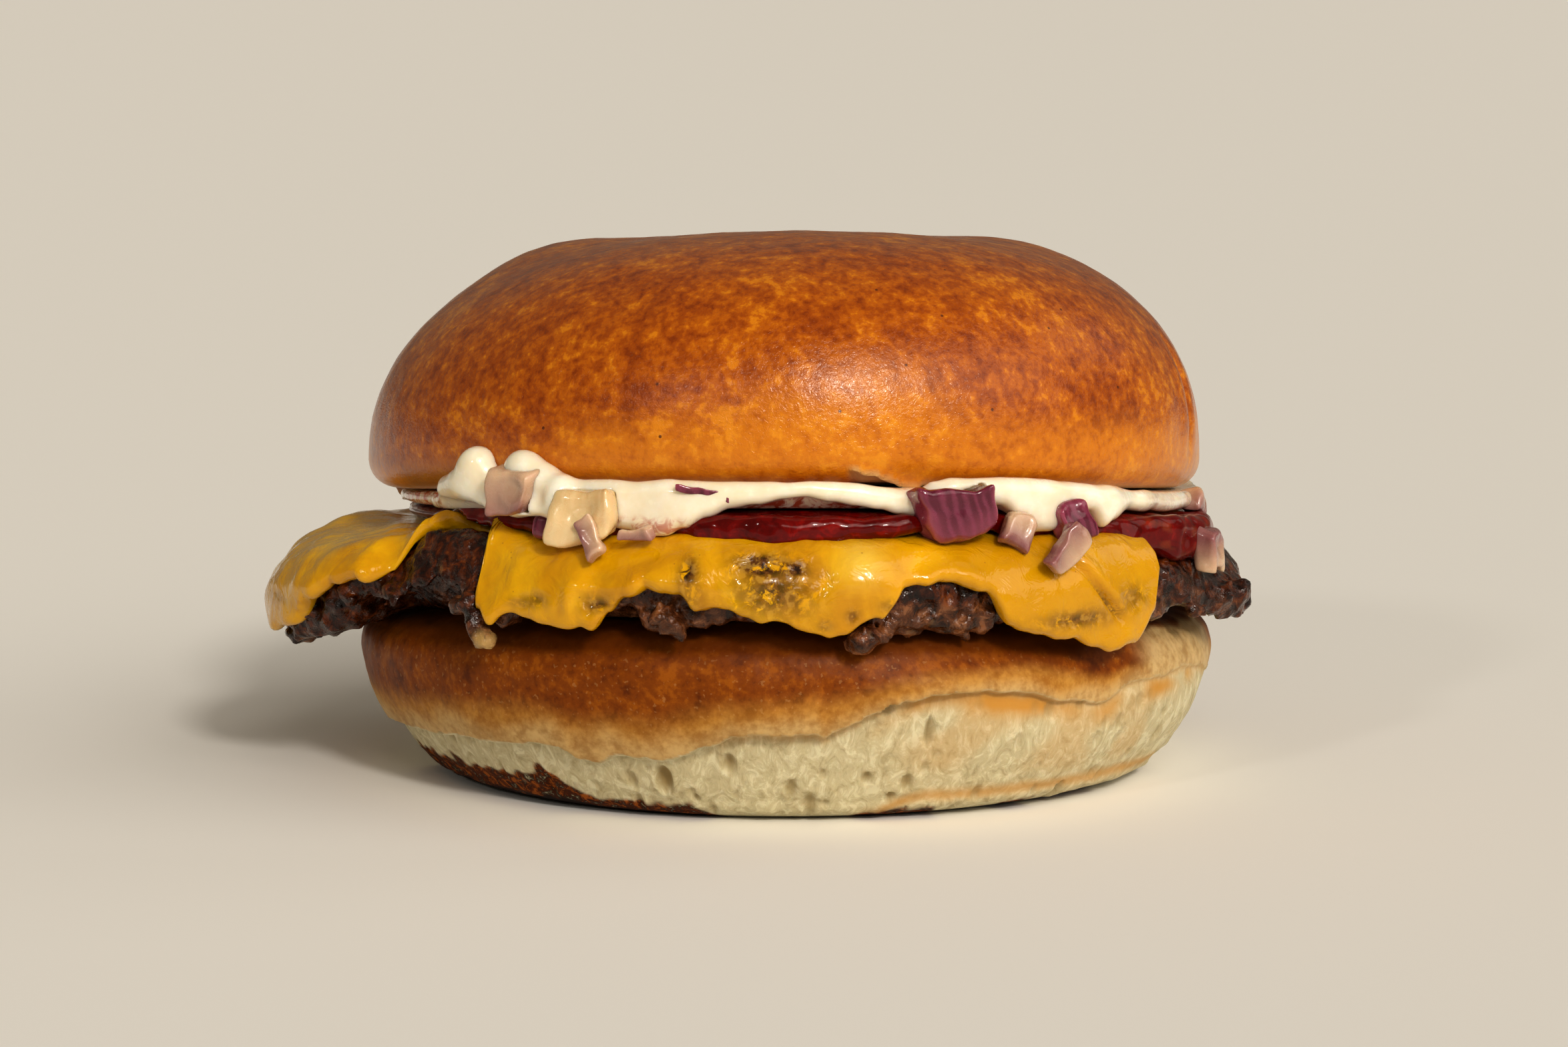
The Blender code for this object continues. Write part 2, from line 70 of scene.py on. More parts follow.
# How far the heel's foot is off to the right, the radius that its wall stays outside, and its crust's lip
HEEL_LEAN, HEEL_BASE, LIP_THICK = 0.8, 40.6, 0.35
# The patty's half thickness, how much more it is at the front, and the round of its edge
PATTY_HALF, PATTY_HALF_LIFT, PATTY_ROUND = 3.6, 0.3, 3.4
# The radius where the patty starts to droop, how softly, the slope of its faces, and the lower face's extra
DROOP_FROM, DROOP_SOFTNESS, PATTY_DROOP, PATTY_HANG = 49.0, 1.2, 0.15, 0.18
CHEESE_THICK, CHEESE_GAP = 2.2, 0.25
# The pockets that the dice of onion press into the sauces are smaller than the dice by the inset
POCKET_INSET, POCKET_ROUND = 0.5, 0.45
# A bit of white fat under the patty's edge: its angle, radius and height, and its size
FAT_PLACE, FAT_SIZE = (math.radians(232.4), 56.0, 21.0), 1.4

# How finely each loft is divided round the burger and along its sections
BUN_STEPS, UPPER_ROWS, HEEL_ROWS, CHEESE_STEPS, CHEESE_ROWS = 660, 136, 138, 780, 128
# Sample rings: steps round the burger, radii near the core, then start, end and step of radii and of heights
PATTY_RINGS = 800, (40.0, 42.0, 44.0, 45.6, 46.8, 47.8, 48.6, 49.2), (49.7, 63.6, 0.44), (14.6, 35.4, 0.44)
KETCHUP_RINGS = 760, (40.0, 43.0, 45.5, 47.0, 48.0, 48.6), (49.1, 56.6, 0.32), (25.6, 39.2, 0.3)
MAYO_RINGS = 840, (40.0, 43.0, 45.5, 47.0, 48.0, 48.8, 49.4), (49.8, 56.8, 0.28), (28.4, 44.4, 0.28)

WARM = (1.0, 0.94, 0.86)
# Suns: name, degrees to the right of the camera, elevation, softness in degrees, strength, colour
SUNS = [
    ("key", 21, 29, 8, 1.3, WARM), ("key_soft", 19, 32, 36, 1.0, WARM), ("side", 64, 30, 50, 0.85, WARM),
    ("glint", -30, 24, 5, 0.28, (1.0, 0.96, 0.90)), ("rim", 118, 32, 24, 0.12, (1.0, 0.95, 0.90)),
]
# The floor and the camera's place are in metres. The photograph's perspective gives the camera.
GAMMA, ROOM_COLOUR, ROOM_LIGHT, FLOOR_HALF = 0.84, (0.75, 0.66, 0.52), 0.30, 40.0
LENS, SENSOR, CAMERA_PLACE, CAMERA_PITCH = 104.7, 36.0, (0, -0.560, 0.098), 83.0

# Low humps on the upper bun: (x, y, half width, height)
HUMPS = [(-31.0, 8.4, 10.5, 2.4), (33.0, 8.4, 13.9, 2.0)]
HUMP_DEPTH = 14.0
# The lower bun's side: (share of its height, radius)
LOWER_SIDE = [
    (0.0, 40.5), (0.03, 43.0), (0.12, 45.7), (0.28, 48.5), (0.45, 50.7), (0.62, 52.1), (0.78, 52.4),
    (0.89, 51.3), (0.96, 49.2), (1.0, 45.8),
]
# Smooth rings of (degrees, value): the height of the crease under the heel's crust, and how far layers reach
CREASE = [
    (0, 12.0), (40, 8.5), (90, 10.5), (140, 8.0), (180, 6.5), (203, 7.4), (223, 8.3), (231, 8.6),
    (238, 8.7), (242, 7.4), (244, 7.3), (247, 8.4), (250, 8.2), (253, 7.9), (256.5, 8.7), (260.5, 9.8),
    (264, 11.2), (268.5, 11.5), (273, 11.6), (275, 11.3), (277.5, 12.2), (279, 12.9), (280.5, 13.7),
    (285, 15.2), (289, 16.1), (295, 15.9), (302, 15.4), (309, 13.6), (315, 13.0), (321, 14.8), (334, 14.9),
]
PATTY_REACH = [
    (0, 56.0), (20, 54.8), (45, 55.6), (70, 54.2), (95, 56.2), (120, 54.6), (145, 56.0), (168, 58.0),
    (184, 60.8), (194, 61.4), (203, 60.0), (213, 57.2), (226, 55.0), (242, 54.3), (270, 54.5), (285, 55.0),
    (300, 54.5), (318, 54.2), (330, 55.8), (343, 57.8), (352, 57.0),
]
CHEESE_REACH = [
    (4, 49.6), (12, 53.5), (24, 60.5), (38, 60.5), (50, 57.2), (66, 63.5), (84, 58.0), (92, 49.0),
    (99, 50.0), (106, 59.0), (114, 64.0), (130, 59.0), (142, 58.2), (156, 65.0), (170, 66.5), (184, 68.0),
    (194, 68.8), (200, 67.0), (204, 63.6), (208, 61.2), (212, 59.4), (215, 55.6), (217, 52.4), (219, 50.4),
    (222, 47.6), (227, 46.8), (229.5, 50.0), (231.5, 57.0), (234, 59.4), (240, 60.8), (247, 61.6),
    (249.5, 59.6), (251.5, 58.2), (254.5, 57.4), (258, 57.8), (260, 60.3), (268, 61.5), (274, 63.5),
    (281, 61.2), (284, 57.5), (290, 56.3), (294, 57.5), (297, 61.4), (304, 63.2), (311, 65.2), (316, 64.4),
    (319, 61.0), (322, 53.0), (325, 46.2), (335, 45.2), (346, 45.6), (355, 47.0),
]
KETCHUP_OUT = [
    (0, 50.5), (30, 49.5), (60, 51.5), (90, 49.0), (120, 51.2), (146, 50.0), (165, 47.4), (185, 46.4),
    (206, 46.8), (216, 48.6), (224, 50.6), (232, 51.6), (243, 51.8), (254, 51.2), (262, 53.2), (272, 54.0),
    (282, 53.4), (292, 52.4), (304, 52.0), (314, 52.2), (321, 53.4), (328, 55.0), (335, 55.4), (344, 53.6),
    (354, 51.0),
]
KETCHUP_LOW = [
    (0, 29.5), (60, 28.6), (120, 28.6), (180, 30.2), (215, 32.6), (240, 33.4), (254, 33.6), (262, 33.0),
    (272, 33.2), (282, 33.4), (288, 34.2), (294, 34.4), (304, 32.6), (314, 31.6), (322, 29.8), (330, 28.2),
    (337, 27.4), (346, 28.4), (354, 29.4),
]
MAYO_OUT = [
    (0, 51.6), (25, 52.6), (50, 51.4), (80, 52.6), (105, 51.6), (135, 53.0), (150, 51.0), (166, 48.0),
    (190, 47.0), (208, 47.4), (214, 49.6), (221, 52.2), (227, 53.4), (231, 53.0), (236, 53.8), (243, 53.4),
    (250, 53.2), (256, 53.4), (266, 53.0), (280, 52.8), (287, 52.2), (292, 53.4), (300, 53.6), (305, 54.0),
    (310, 53.4), (314, 53.8), (322, 52.6), (334, 51.6), (348, 51.2),
]
# How far the mayonnaise's upper edge is above the upper bun's foot, and the height of its lower edge
MAYO_RISE = [
    (0, 0.2), (25, 1.4), (50, 0.4), (80, 1.6), (105, 0.4), (135, 2.0), (160, 0.4), (190, 0.2), (214, 0.0),
    (221, 0.4), (224, 1.6), (231, 2.2), (238, 1.7), (241, 1.0), (254, 0.8), (262, 0.7), (270, 0.5),
    (278, 0.6), (283, -0.1), (287, -0.4), (289, 0.8), (291.5, 1.2), (298.6, 1.3), (307, 1.0), (314, 0.5),
    (325, 0.2), (332, -0.2), (348, -0.1),
]
MAYO_LOW = [
    (0, 32.8), (25, 31.8), (50, 31.2), (80, 30.0), (105, 30.8), (135, 30.2), (160, 32.5), (190, 34.5),
    (212, 36.6), (221, 36.7), (226.5, 36.6), (230, 35.6), (235, 35.5), (238, 36.3), (240, 35.4),
    (245, 35.2), (250, 34.4), (253, 34.0), (255.2, 34.0), (257.5, 34.8), (260.5, 36.3), (263.3, 37.1),
    (266.5, 37.7), (270, 38.5), (272.7, 38.8), (276, 38.2), (279, 37.6), (282, 37.2), (284.6, 36.4),
    (287, 35.8), (289.5, 38.2), (293.6, 38.0), (298, 37.0), (300.3, 35.6), (302.8, 33.8), (305.2, 33.7),
    (307.1, 34.9), (311.9, 35.5), (314.4, 33.4), (316.2, 34.1), (319.8, 34.7), (326.2, 34.2),
    (333.3, 33.3), (346, 33.2),
]
# Blobs of mayonnaise: angle, radius, height, half sizes along the rim, outwards and up
MAYO_BLOBS = [
    (227.2, 51.8, 40.6, 2.3, 2.4, 2.3), (225.6, 51.6, 38.7, 3.2, 2.0, 1.7),
    (221.6, 50.8, 38.2, 2.4, 1.5, 1.0), (235.6, 52.4, 40.6, 2.6, 2.4, 2.4),
    (238.4, 52.3, 39.6, 2.6, 2.0, 1.8), (237.0, 53.6, 36.7, 4.2, 1.7, 1.1),
    (241.7, 53.4, 37.6, 1.5, 1.7, 2.6), (136.0, 51.6, 37.0, 3.4, 2.0, 2.4),
    (27.0, 51.8, 35.4, 3.6, 1.9, 1.9), (81.0, 51.8, 34.0, 4.2, 1.9, 2.0),
]
# Diced onion: angle, distance from the middle, height, length, depth, thickness, tilt, kind
ONION_DICE = [
    (235.6, 53.8, 38.3, 5.8, 3.8, 5.2, 2, "blush"), (245.6, 53.8, 36.5, 7.8, 3.4, 5.8, -3, "ivory"),
    (247.0, 56.0, 33.8, 4.6, 1.3, 2.5, 56, "blush"), (252.0, 55.0, 34.5, 4.0, 1.6, 1.5, -12, "blush"),
    (260.5, 52.9, 39.0, 6.2, 1.0, 0.8, 4, "purple"), (292.2, 53.4, 36.5, 8.4, 4.2, 5.8, -16, "purple"),
    (299.0, 54.0, 34.4, 3.6, 2.8, 3.8, 26, "blush"), (307.6, 53.6, 34.6, 4.2, 3.6, 4.8, -20, "purple"),
    (303.6, 57.4, 31.4, 6.0, 2.2, 3.2, -34, "blush"), (334.0, 55.9, 29.2, 4.0, 3.0, 4.8, 12, "blush"),
    (344.6, 51.2, 33.6, 3.4, 3.0, 2.8, 25, "blush"), (238.6, 51.4, 34.5, 3.2, 2.8, 2.8, 8, "purple"),
    (24.0, 51.2, 32.3, 5.2, 4.6, 3.8, 16, "ivory"), (43.0, 51.8, 30.9, 7.0, 4.0, 4.2, -8, "blush"),
    (62.0, 51.4, 30.3, 5.0, 4.4, 4.0, 20, "purple"), (77.0, 52.3, 29.8, 6.2, 3.8, 4.4, -18, "ivory"),
    (95.0, 51.3, 29.5, 5.8, 4.2, 3.6, 9, "blush"), (112.0, 51.9, 30.0, 7.8, 4.2, 4.6, -12, "purple"),
    (129.0, 51.7, 30.5, 4.6, 4.4, 4.0, 28, "blush"), (147.0, 52.0, 30.9, 6.6, 3.8, 4.4, -6, "ivory"),
    (160.0, 50.2, 32.3, 4.8, 3.8, 3.6, 14, "blush"),
]
# Large pores in the heel's crumb: degrees, height, half width, half height, depth
HEEL_PORES = [
    (253.0, 5.2, 1.15, 1.9, 1.0), (257.2, 3.0, 0.5, 0.5, 0.6), (248.0, 5.0, 0.8, 1.2, 0.5),
    (271.0, 4.4, 0.9, 1.3, 0.6), (289.2, 11.2, 0.55, 2.1, 0.9), (281.5, 5.6, 0.7, 0.9, 0.6),
    (285.5, 3.0, 0.7, 0.7, 0.6), (302.0, 9.4, 0.7, 1.1, 0.6), (316.0, 8.4, 0.6, 1.1, 0.6),
]
# Spots on the side of the burger: size, degrees, height or radius, half width in degrees, half height
HEEL_OIL = [(0.8, 319, 17.6, 5.0, 1.4), (0.5, 308, 19.0, 6.0, 1.2), (0.5, 313, 21.0, 11.0, 1.8)]
CHEESE_LIFTS = [
    (1.0, 278.9, 30.6, 3.4, 2.8), (0.8, 254.0, 29.0, 4.5, 1.4), (0.6, 290.0, 29.6, 5.5, 1.4),
    (0.5, 303.0, 27.5, 6.0, 3.0), (-0.9, 247.8, 28.6, 2.0, 3.2), (0.7, 246.6, 28.4, 2.6, 0.9),
    (0.5, 244.6, 26.6, 0.8, 2.0),
]
CHEESE_SAGS = [(1.1, 186, 55, 9, 4.0), (1.6, 178, 52, 7, 3.5)]
CHEESE_STAINS = [
    (1.5, 259.1, 30.6, 1.1, 1.4), (0.7, 259.0, 27.4, 2.2, 2.0), (1.5, 267.1, 31.7, 2.6, 1.0),
    (1.4, 271.4, 31.1, 1.1, 0.6), (1.25, 268.8, 28.4, 4.8, 3.2), (1.3, 248.0, 26.4, 1.9, 1.0),
    (1.1, 277.7, 25.7, 0.8, 0.9), (0.7, 281.7, 26.7, 1.1, 0.9), (0.6, 238.0, 26.0, 2.0, 0.9),
    (1.2, 306.0, 23.9, 5.5, 1.0), (0.9, 315.5, 25.6, 2.6, 1.6), (0.9, 240.5, 26.6, 1.6, 0.8),
    (0.9, 274.6, 24.6, 0.9, 0.7), (0.8, 286.0, 25.4, 1.2, 1.0), (0.6, 280.0, 24.4, 1.0, 0.8),
    (0.6, 196.0, 22.5, 4.0, 1.0), (0.5, 252.0, 26.6, 2.5, 0.8), (0.5, 120, 24, 4, 3),
]
# Stretches round the burger: size, start, end, softness; curls have a start radius and a width too
HEEL_TOAST = [
    (4.4, 190, 236, 12), (2.3, 232, 259, 7), (1.5, 281, 294, 3), (1.6, 305, 311, 2), (0.9, 314, 330, 6),
    (1.8, 20, 100, 30),
]
PATTY_TORN = [
    (4.2, 206, 227, 5), (2.4, 234, 252, 3), (1.3, 262, 280, 5), (1.3, 297, 321, 5), (2.5, 326, 358, 6),
]
PATTY_CURLS = [(2.7, 216, 232, 7, 46, 5), (-5.2, 214, 234, 6, 52, 5), (-0.9, 334, 358, 6, 53, 5)]
# Loose meat: angle, distance from the middle, height, radius
CRUMBS = [
    (229.6, 55.2, 25.2, 1.5), (230.6, 55.5, 23.6, 1.3), (231.6, 55.6, 22.1, 1.15),
    (232.3, 55.7, 21.2, 1.1), (227.4, 55.0, 24.8, 1.3), (228.8, 54.8, 23.4, 0.9), (204.0, 58.8, 23.4, 1.4),
    (199.5, 60.4, 21.2, 1.4), (196.5, 60.6, 20.8, 1.3), (207.5, 58.2, 24.2, 1.3), (187.0, 61.6, 22.2, 1.3),
    (186.0, 61.2, 20.6, 1.1), (256.2, 54.8, 24.6, 1.6), (257.5, 55.0, 23.7, 1.1), (255.3, 54.8, 25.2, 1.4),
    (279.2, 54.8, 22.8, 1.3), (281.0, 54.4, 23.2, 1.0), (342.0, 57.6, 23.2, 1.3), (346.0, 57.4, 22.0, 1.1),
    (338.0, 56.6, 23.4, 1.1), (20.0, 54.2, 18.8, 1.5), (76.0, 53.8, 17.6, 1.6), (133.0, 55.4, 17.8, 1.5),
    (331.0, 55.4, 22.6, 1.0),
]


# Shapes of numbers

def ease(share):
    share = np.clip(share, 0.0, 1.0)
    return share * share * (3 - 2 * share)


def past(value, start, width):
    """0 up to the start and 1 from this width past it."""
    return ease((value - start) / width)


def before(value, end, width):
    """1 until this width before the end, and 0 from the end on."""
    return ease((end - value) / width)


def bell(value, width):
    return np.exp(-((value / width) ** 2))


def mix(first, second, share):
    return first + (second - first) * share


def ring(turn, stops):
    """The value at an angle in degrees of a smooth ring through stops of (degrees, value)."""
    at = np.array([stops[-1][0] - 360] + [s[0] for s in stops] + [stops[0][0] + 360], float)
    value = np.array([stops[-1][1]] + [s[1] for s in stops] + [stops[0][1]], float)
    turn = np.asarray(turn) % 360
    index = np.clip(np.searchsorted(at, turn, side="right") - 1, 0, len(at) - 2)
    share = (turn - at[index]) / (at[index + 1] - at[index])
    return mix(value[index], value[index + 1], ease(share))


def curve(x, stops):
    """A smooth line through stops of (x, y), with no corners."""
    at, value = np.array(stops, float).T
    slope = np.gradient(value, at)
    index = np.clip(np.searchsorted(at, x, side="right") - 1, 0, len(at) - 2)
    width = at[index + 1] - at[index]
    t = (x - at[index]) / width
    return (
        (2 * t**3 - 3 * t**2 + 1) * value[index] + (t**3 - 2 * t**2 + t) * width * slope[index]
        + (3 * t**2 - 2 * t**3) * value[index + 1] + (t**3 - t**2) * width * slope[index + 1]
    )


def apart(turn, middle):
    """Degrees between two directions, from 0 to 180."""
    return np.abs((turn - middle + 180) % 360 - 180)


def window(turn, start, end, soft):
    """1 between two angles and 0 outside them, with soft ends."""
    middle, half = (start + end) / 2, (end - start) / 2
    return ease((half - apart(turn, middle)) / soft + 0.5)


def windows(turn, rows):
    """Windows added up, from rows of (size, start, end, soft)."""
    return sum(size * window(turn, *row) for size, *row in rows)


def spot(turn, height, middle, up, wide, tall):
    """A round hump of 1 at a place on the side of the burger; wide is in degrees and tall in millimetres."""
    return np.exp(-((apart(turn, middle) / wide) ** 2) - ((height - up) / tall) ** 2)


def spots(turn, height, rows):
    """Round humps added up, from rows of (size, degrees, height, wide, tall)."""
    return sum(size * spot(turn, height, *row) for size, *row in rows)


def level(height, lift, angle, radius):
    """The height of a flat layer that leans with the burger and sags at its sides."""
    lean, sag = radius * np.sin(angle) / LEAN_RADIUS, (radius * np.cos(angle) / LEAN_RADIUS) ** 2
    return height - lift * lean - SIDE_SAG * sag


def foot_of(angle, radius):
    return level(UPPER_FOOT, UPPER_LIFT, angle, radius)


def spread(steps, lead=0.4):
    """Angles round the burger, closer together at the front by this share."""
    turn = np.linspace(0, 2 * math.pi, 4001)
    return np.interp(np.arange(steps) * 2 * math.pi / steps, turn + lead * (np.cos(turn) - 1), turn)


def polar(angle, radius, height):
    return np.stack(np.broadcast_arrays(radius * np.cos(angle), radius * np.sin(angle), height), axis=-1)


def bearing(points):
    """The angle of points, the same in degrees from 0 to 360, and their distance from the middle."""
    angle = np.arctan2(points[:, 1], points[:, 0])
    return angle, np.degrees(angle) % 360, np.hypot(points[:, 0], points[:, 1])


def noise(points, size, seed):
    """Smooth noise, about -1 to 1, with bumps of this size."""
    draw = np.random.default_rng(seed)
    order = draw.permutation(256)
    slopes = draw.normal(size=(256, 3))
    slopes /= np.linalg.norm(slopes, axis=1)[:, None]
    scaled = points / size
    base = np.floor(scaled).astype(np.int64)
    part = scaled - base
    smooth = part**3 * (part * (part * 6 - 15) + 10)
    total = 0.0
    for corner in np.ndindex(2, 2, 2):
        x, y, z = (base[..., k] + corner[k] for k in range(3))
        slope = slopes[order[(order[(order[x & 255] + y) & 255] + z) & 255]]
        weight = np.prod(np.where(corner, smooth, 1 - smooth), axis=-1)
        total = total + weight * (slope * (part - corner)).sum(-1)
    return 1.6 * total


def rough(points, size, seed, layers, fade):
    """Layers of noise, each half as wide as the one before and weaker by this share."""
    return sum(fade**n * noise(points, size / 2**n, seed + n) for n in range(layers))


def nodules(points, size, seed):
    """1 at the middle of each pellet in a jumble of pellets of this size, and 0 in the cracks between."""
    draw = np.random.default_rng(seed)
    jitter = draw.uniform(0.1, 0.9, size=(4096, 3))
    scaled = points / size
    base = np.floor(scaled).astype(np.int64)
    nearest = np.full(points.shape[:-1], 9.0)
    for step in np.ndindex(3, 3, 3):
        cell = base + np.array(step) - 1
        key = (cell[..., 0] * 73 + cell[..., 1] * 179 + cell[..., 2] * 283) & 4095
        away = cell + jitter[key] - scaled
        nearest = np.minimum(nearest, (away * away).sum(-1))
    return np.clip(1 - np.sqrt(nearest), 0, 1)


# Meshes

def make(name, points, faces, look, marks, rides="root"):
    """A smooth mesh piece from points in millimetres.

    The marks are values from 0 to 1 at its points, which its material reads.
    """
    mesh = bpy.data.meshes.new(name)
    mesh.from_pydata((points * MM).tolist(), [], faces)
    mesh.validate()
    for mark, values in marks.items():
        values = np.ravel(values).clip(0, 1).astype(np.float32)
        mesh.attributes.new(mark, "FLOAT", "POINT").data.foreach_set("value", values)
    mesh.materials.append(look)
    mesh.shade_smooth()
    piece = bpy.data.objects.new(name, mesh)
    bpy.context.scene.collection.objects.link(piece)
    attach(piece, rides)
    return piece


def respace(radii, heights, rows, hidden, share):
    """The same sections with rows points each, and only this share as many where hidden(radius, height)."""
    out_of_sight = hidden((radii[:, 1:] + radii[:, :-1]) / 2, (heights[:, 1:] + heights[:, :-1]) / 2)
    weights = np.where(out_of_sight, share, 1.0)
    steps = np.hypot(np.diff(radii, axis=1), np.diff(heights, axis=1)) * weights
    run = np.concatenate([np.zeros((len(radii), 1)), np.cumsum(steps, axis=1)], axis=1)
    shares = np.linspace(0, 1, rows)
    out = np.empty((2, len(radii), rows))
    for index, line in enumerate(run):
        for axis, values in enumerate((radii, heights)):
            out[axis, index] = np.interp(shares * line[-1], line, values[index])
    return out


def normals(grid):
    """Outward directions of a grid of points that runs round in its first axis and starts on its top."""
    across = np.roll(grid, -1, axis=0) - np.roll(grid, 1, axis=0)
    out = np.cross(np.gradient(grid, axis=1), across)
    out = out / np.maximum(np.linalg.norm(out, axis=-1, keepdims=True), 1e-9)
    return -out if out[:, 5, 2].mean() < 0 else out


def loft(name, grid, look, marks):
    """A closed body from a grid of points (steps, rows); its first and last rows shrink to a point each."""
    steps, rows = grid.shape[:2]
    inner = grid[:, 1:-1].reshape(-1, 3)
    poles = np.array([grid[:, 0].mean(axis=0), grid[:, -1].mean(axis=0)])
    index = np.arange(steps * (rows - 2)).reshape(steps, rows - 2)
    following = np.roll(index, -1, axis=0)
    quads = np.stack([index[:, :-1], index[:, 1:], following[:, 1:], following[:, :-1]], axis=-1)
    first, last = steps * (rows - 2), steps * (rows - 2) + 1
    fans = [(first, a, b) for a, b in zip(index[:, 0].tolist(), following[:, 0].tolist())]
    fans += [(last, b, a) for a, b in zip(index[:, -1].tolist(), following[:, -1].tolist())]
    points = np.concatenate([inner, poles])
    quads = quads.reshape(-1, 4).tolist()
    values = {
        mark: np.concatenate([np.broadcast_to(v, (steps, rows))[:, 1:-1].ravel(), [v[0, 0], v[0, -1]]])
        for mark, v in marks.items()
    }
    if volume(points, quads) < 0:
        quads, fans = [q[::-1] for q in quads], [f[::-1] for f in fans]
    return make(name, points, quads + fans, look, values)


def volume(points, quads):
    corner = points[np.array(quads)]
    one = np.einsum("ij,ij->i", corner[:, 0], np.cross(corner[:, 1], corner[:, 2]))
    two = np.einsum("ij,ij->i", corner[:, 0], np.cross(corner[:, 2], corner[:, 3]))
    return float((one + two).sum())


class Rings:
    """A grid of sample points round the burger: a few radii near the core, and even steps further out."""

    def __init__(self, steps, core, outer, heights):
        self.angles = spread(steps)
        self.radii, self.heights = np.concatenate([core, np.arange(*outer)]), np.arange(*heights)
        grid = np.meshgrid(self.angles, self.radii, self.heights, indexing="ij")
        self.angle, self.radius, self.height = grid
        self.turn = np.degrees(self.angle)

    def points(self, chosen):
        return polar(self.angle[chosen], self.radius[chosen], self.height[chosen])

    def place(self, steps):
        """Points for places given in steps of the grid."""
        angle = np.interp(steps[:, 0], np.arange(len(self.angles) + 1), np.append(self.angles, 2 * math.pi))
        radius = np.interp(steps[:, 1], np.arange(len(self.radii)), self.radii)
        height = np.interp(steps[:, 2], np.arange(len(self.heights)), self.heights)
        return polar(angle, radius, height)


def skin(rings, field, middle, lift):
    """(points, faces) of the surface where the field is zero, with a point in each cell that it crosses.

    Two fans close it over the core, one above and one below the layer's middle.
    """
    field = field.astype(np.float32)
    field[:, -1, :] = np.maximum(field[:, -1, :], 0.1)
    for end in (0, -1):
        field[:, :, end] = np.maximum(field[:, :, end], 0.1)
    steps, across, up = field.shape
    sides = (field, np.roll(field, -1, axis=0))
    total = np.zeros((steps, across - 1, up - 1, 3), np.float32)
    count = np.zeros((steps, across - 1, up - 1), np.float32)

    def cross(a, b, offset, axis):
        hit = (a < 0) != (b < 0)
        share = np.where(hit, a / np.where(hit, a - b, 1), 0)
        for k in range(3):
            total[..., k] += share if k == axis else np.where(hit, offset[k], 0)
        count[...] += hit

    for one, two in np.ndindex(2, 2):
        r, z = slice(one, across - 1 + one), slice(two, up - 1 + two)
        cross(sides[0][:, r, z], sides[1][:, r, z], (0, one, two), 0)
        cross(sides[one][:, :-1, z], sides[one][:, 1:, z], (one, 0, two), 1)
        r = slice(two, across - 1 + two)
        cross(sides[one][:, r, :-1], sides[one][:, r, 1:], (one, two, 0), 2)
    live = count > 0
    index = np.full(live.shape, -1, np.int64)
    index[live] = np.arange(live.sum())
    points = rings.place(np.argwhere(live) + total[live] / count[live][:, None])

    inside = field < 0
    back = np.roll(index, 1, axis=0)
    faces = []

    def add(hit, first_inside, corners):
        quads = np.stack([c[hit] for c in corners], axis=-1)
        flip = ~first_inside[hit]
        quads[flip] = quads[flip][:, ::-1]
        faces.append(quads)

    hit = inside[:, 1:-1, :-1] != inside[:, 1:-1, 1:]
    add(hit, inside[:, 1:-1, :-1], (back[:, :-1], index[:, :-1], index[:, 1:], back[:, 1:]))
    ahead = np.roll(inside, -1, axis=0)
    hit = inside[:, 1:-1, 1:-1] != ahead[:, 1:-1, 1:-1]
    corners = index[:, :-1, :-1], index[:, 1:, :-1], index[:, 1:, 1:], index[:, :-1, 1:]
    add(hit, inside[:, 1:-1, 1:-1], corners)
    hit = inside[:, :-1, 1:-1] != inside[:, 1:, 1:-1]
    add(hit, inside[:, :-1, 1:-1], (back[:, :, :-1], back[:, :, 1:], index[:, :, 1:], index[:, :, :-1]))
    faces = np.concatenate(faces)
    points, faces = keep_largest(points, faces)
    if volume(points, faces) < 0:
        faces = faces[:, ::-1]

    size = len(points)
    starts, ends = faces.ravel(), np.roll(faces, -1, axis=1).ravel()
    open_ = ~np.isin(starts * size + ends, ends * size + starts)
    starts, ends = starts[open_], ends[open_]
    rim = points[starts]
    top = rim[:, 2] > level(middle, lift, bearing(rim)[0], rings.radii[0])
    middles = [[0, 0, rim[top, 2].mean()], [0, 0, rim[~top, 2].mean()]]
    fans = [(e, s, size + (0 if t else 1)) for s, e, t in zip(starts.tolist(), ends.tolist(), top)]
    return np.concatenate([points, middles]), faces.tolist() + fans


def keep_largest(points, faces):
    """Drops loose scraps."""
    label = np.arange(len(points))
    while True:
        low = label[faces].min(axis=1)
        new = label.copy()
        np.minimum.at(new, faces.ravel(), np.repeat(low, faces.shape[1]))
        new = new[new]
        if (new == label).all():
            break
        label = new
    biggest = np.bincount(label).argmax()
    keep = label == biggest
    renumber = np.cumsum(keep) - 1
    return points[keep], renumber[faces[keep[faces[:, 0]]]]


def join(first, second, blend):
    """The two fields together, with a fillet of this size where they meet."""
    share = np.clip(0.5 + 0.5 * (second - first) / blend, 0, 1)
    return mix(second, first, share) - blend * share * (1 - share)


def slab(rings, out, top, low, blunt):
    """The field of a layer that ends at this radius between these heights, with a blunt edge."""
    half = (top - low) / 2
    blunt = np.minimum(blunt, np.maximum(half, 0.1))
    away = np.abs(rings.height - (top + low) / 2) - (half - blunt)
    over = rings.radius - (out - blunt)
    return np.hypot(np.maximum(away, 0), np.maximum(over, 0)) + np.minimum(np.maximum(away, over), 0) - blunt


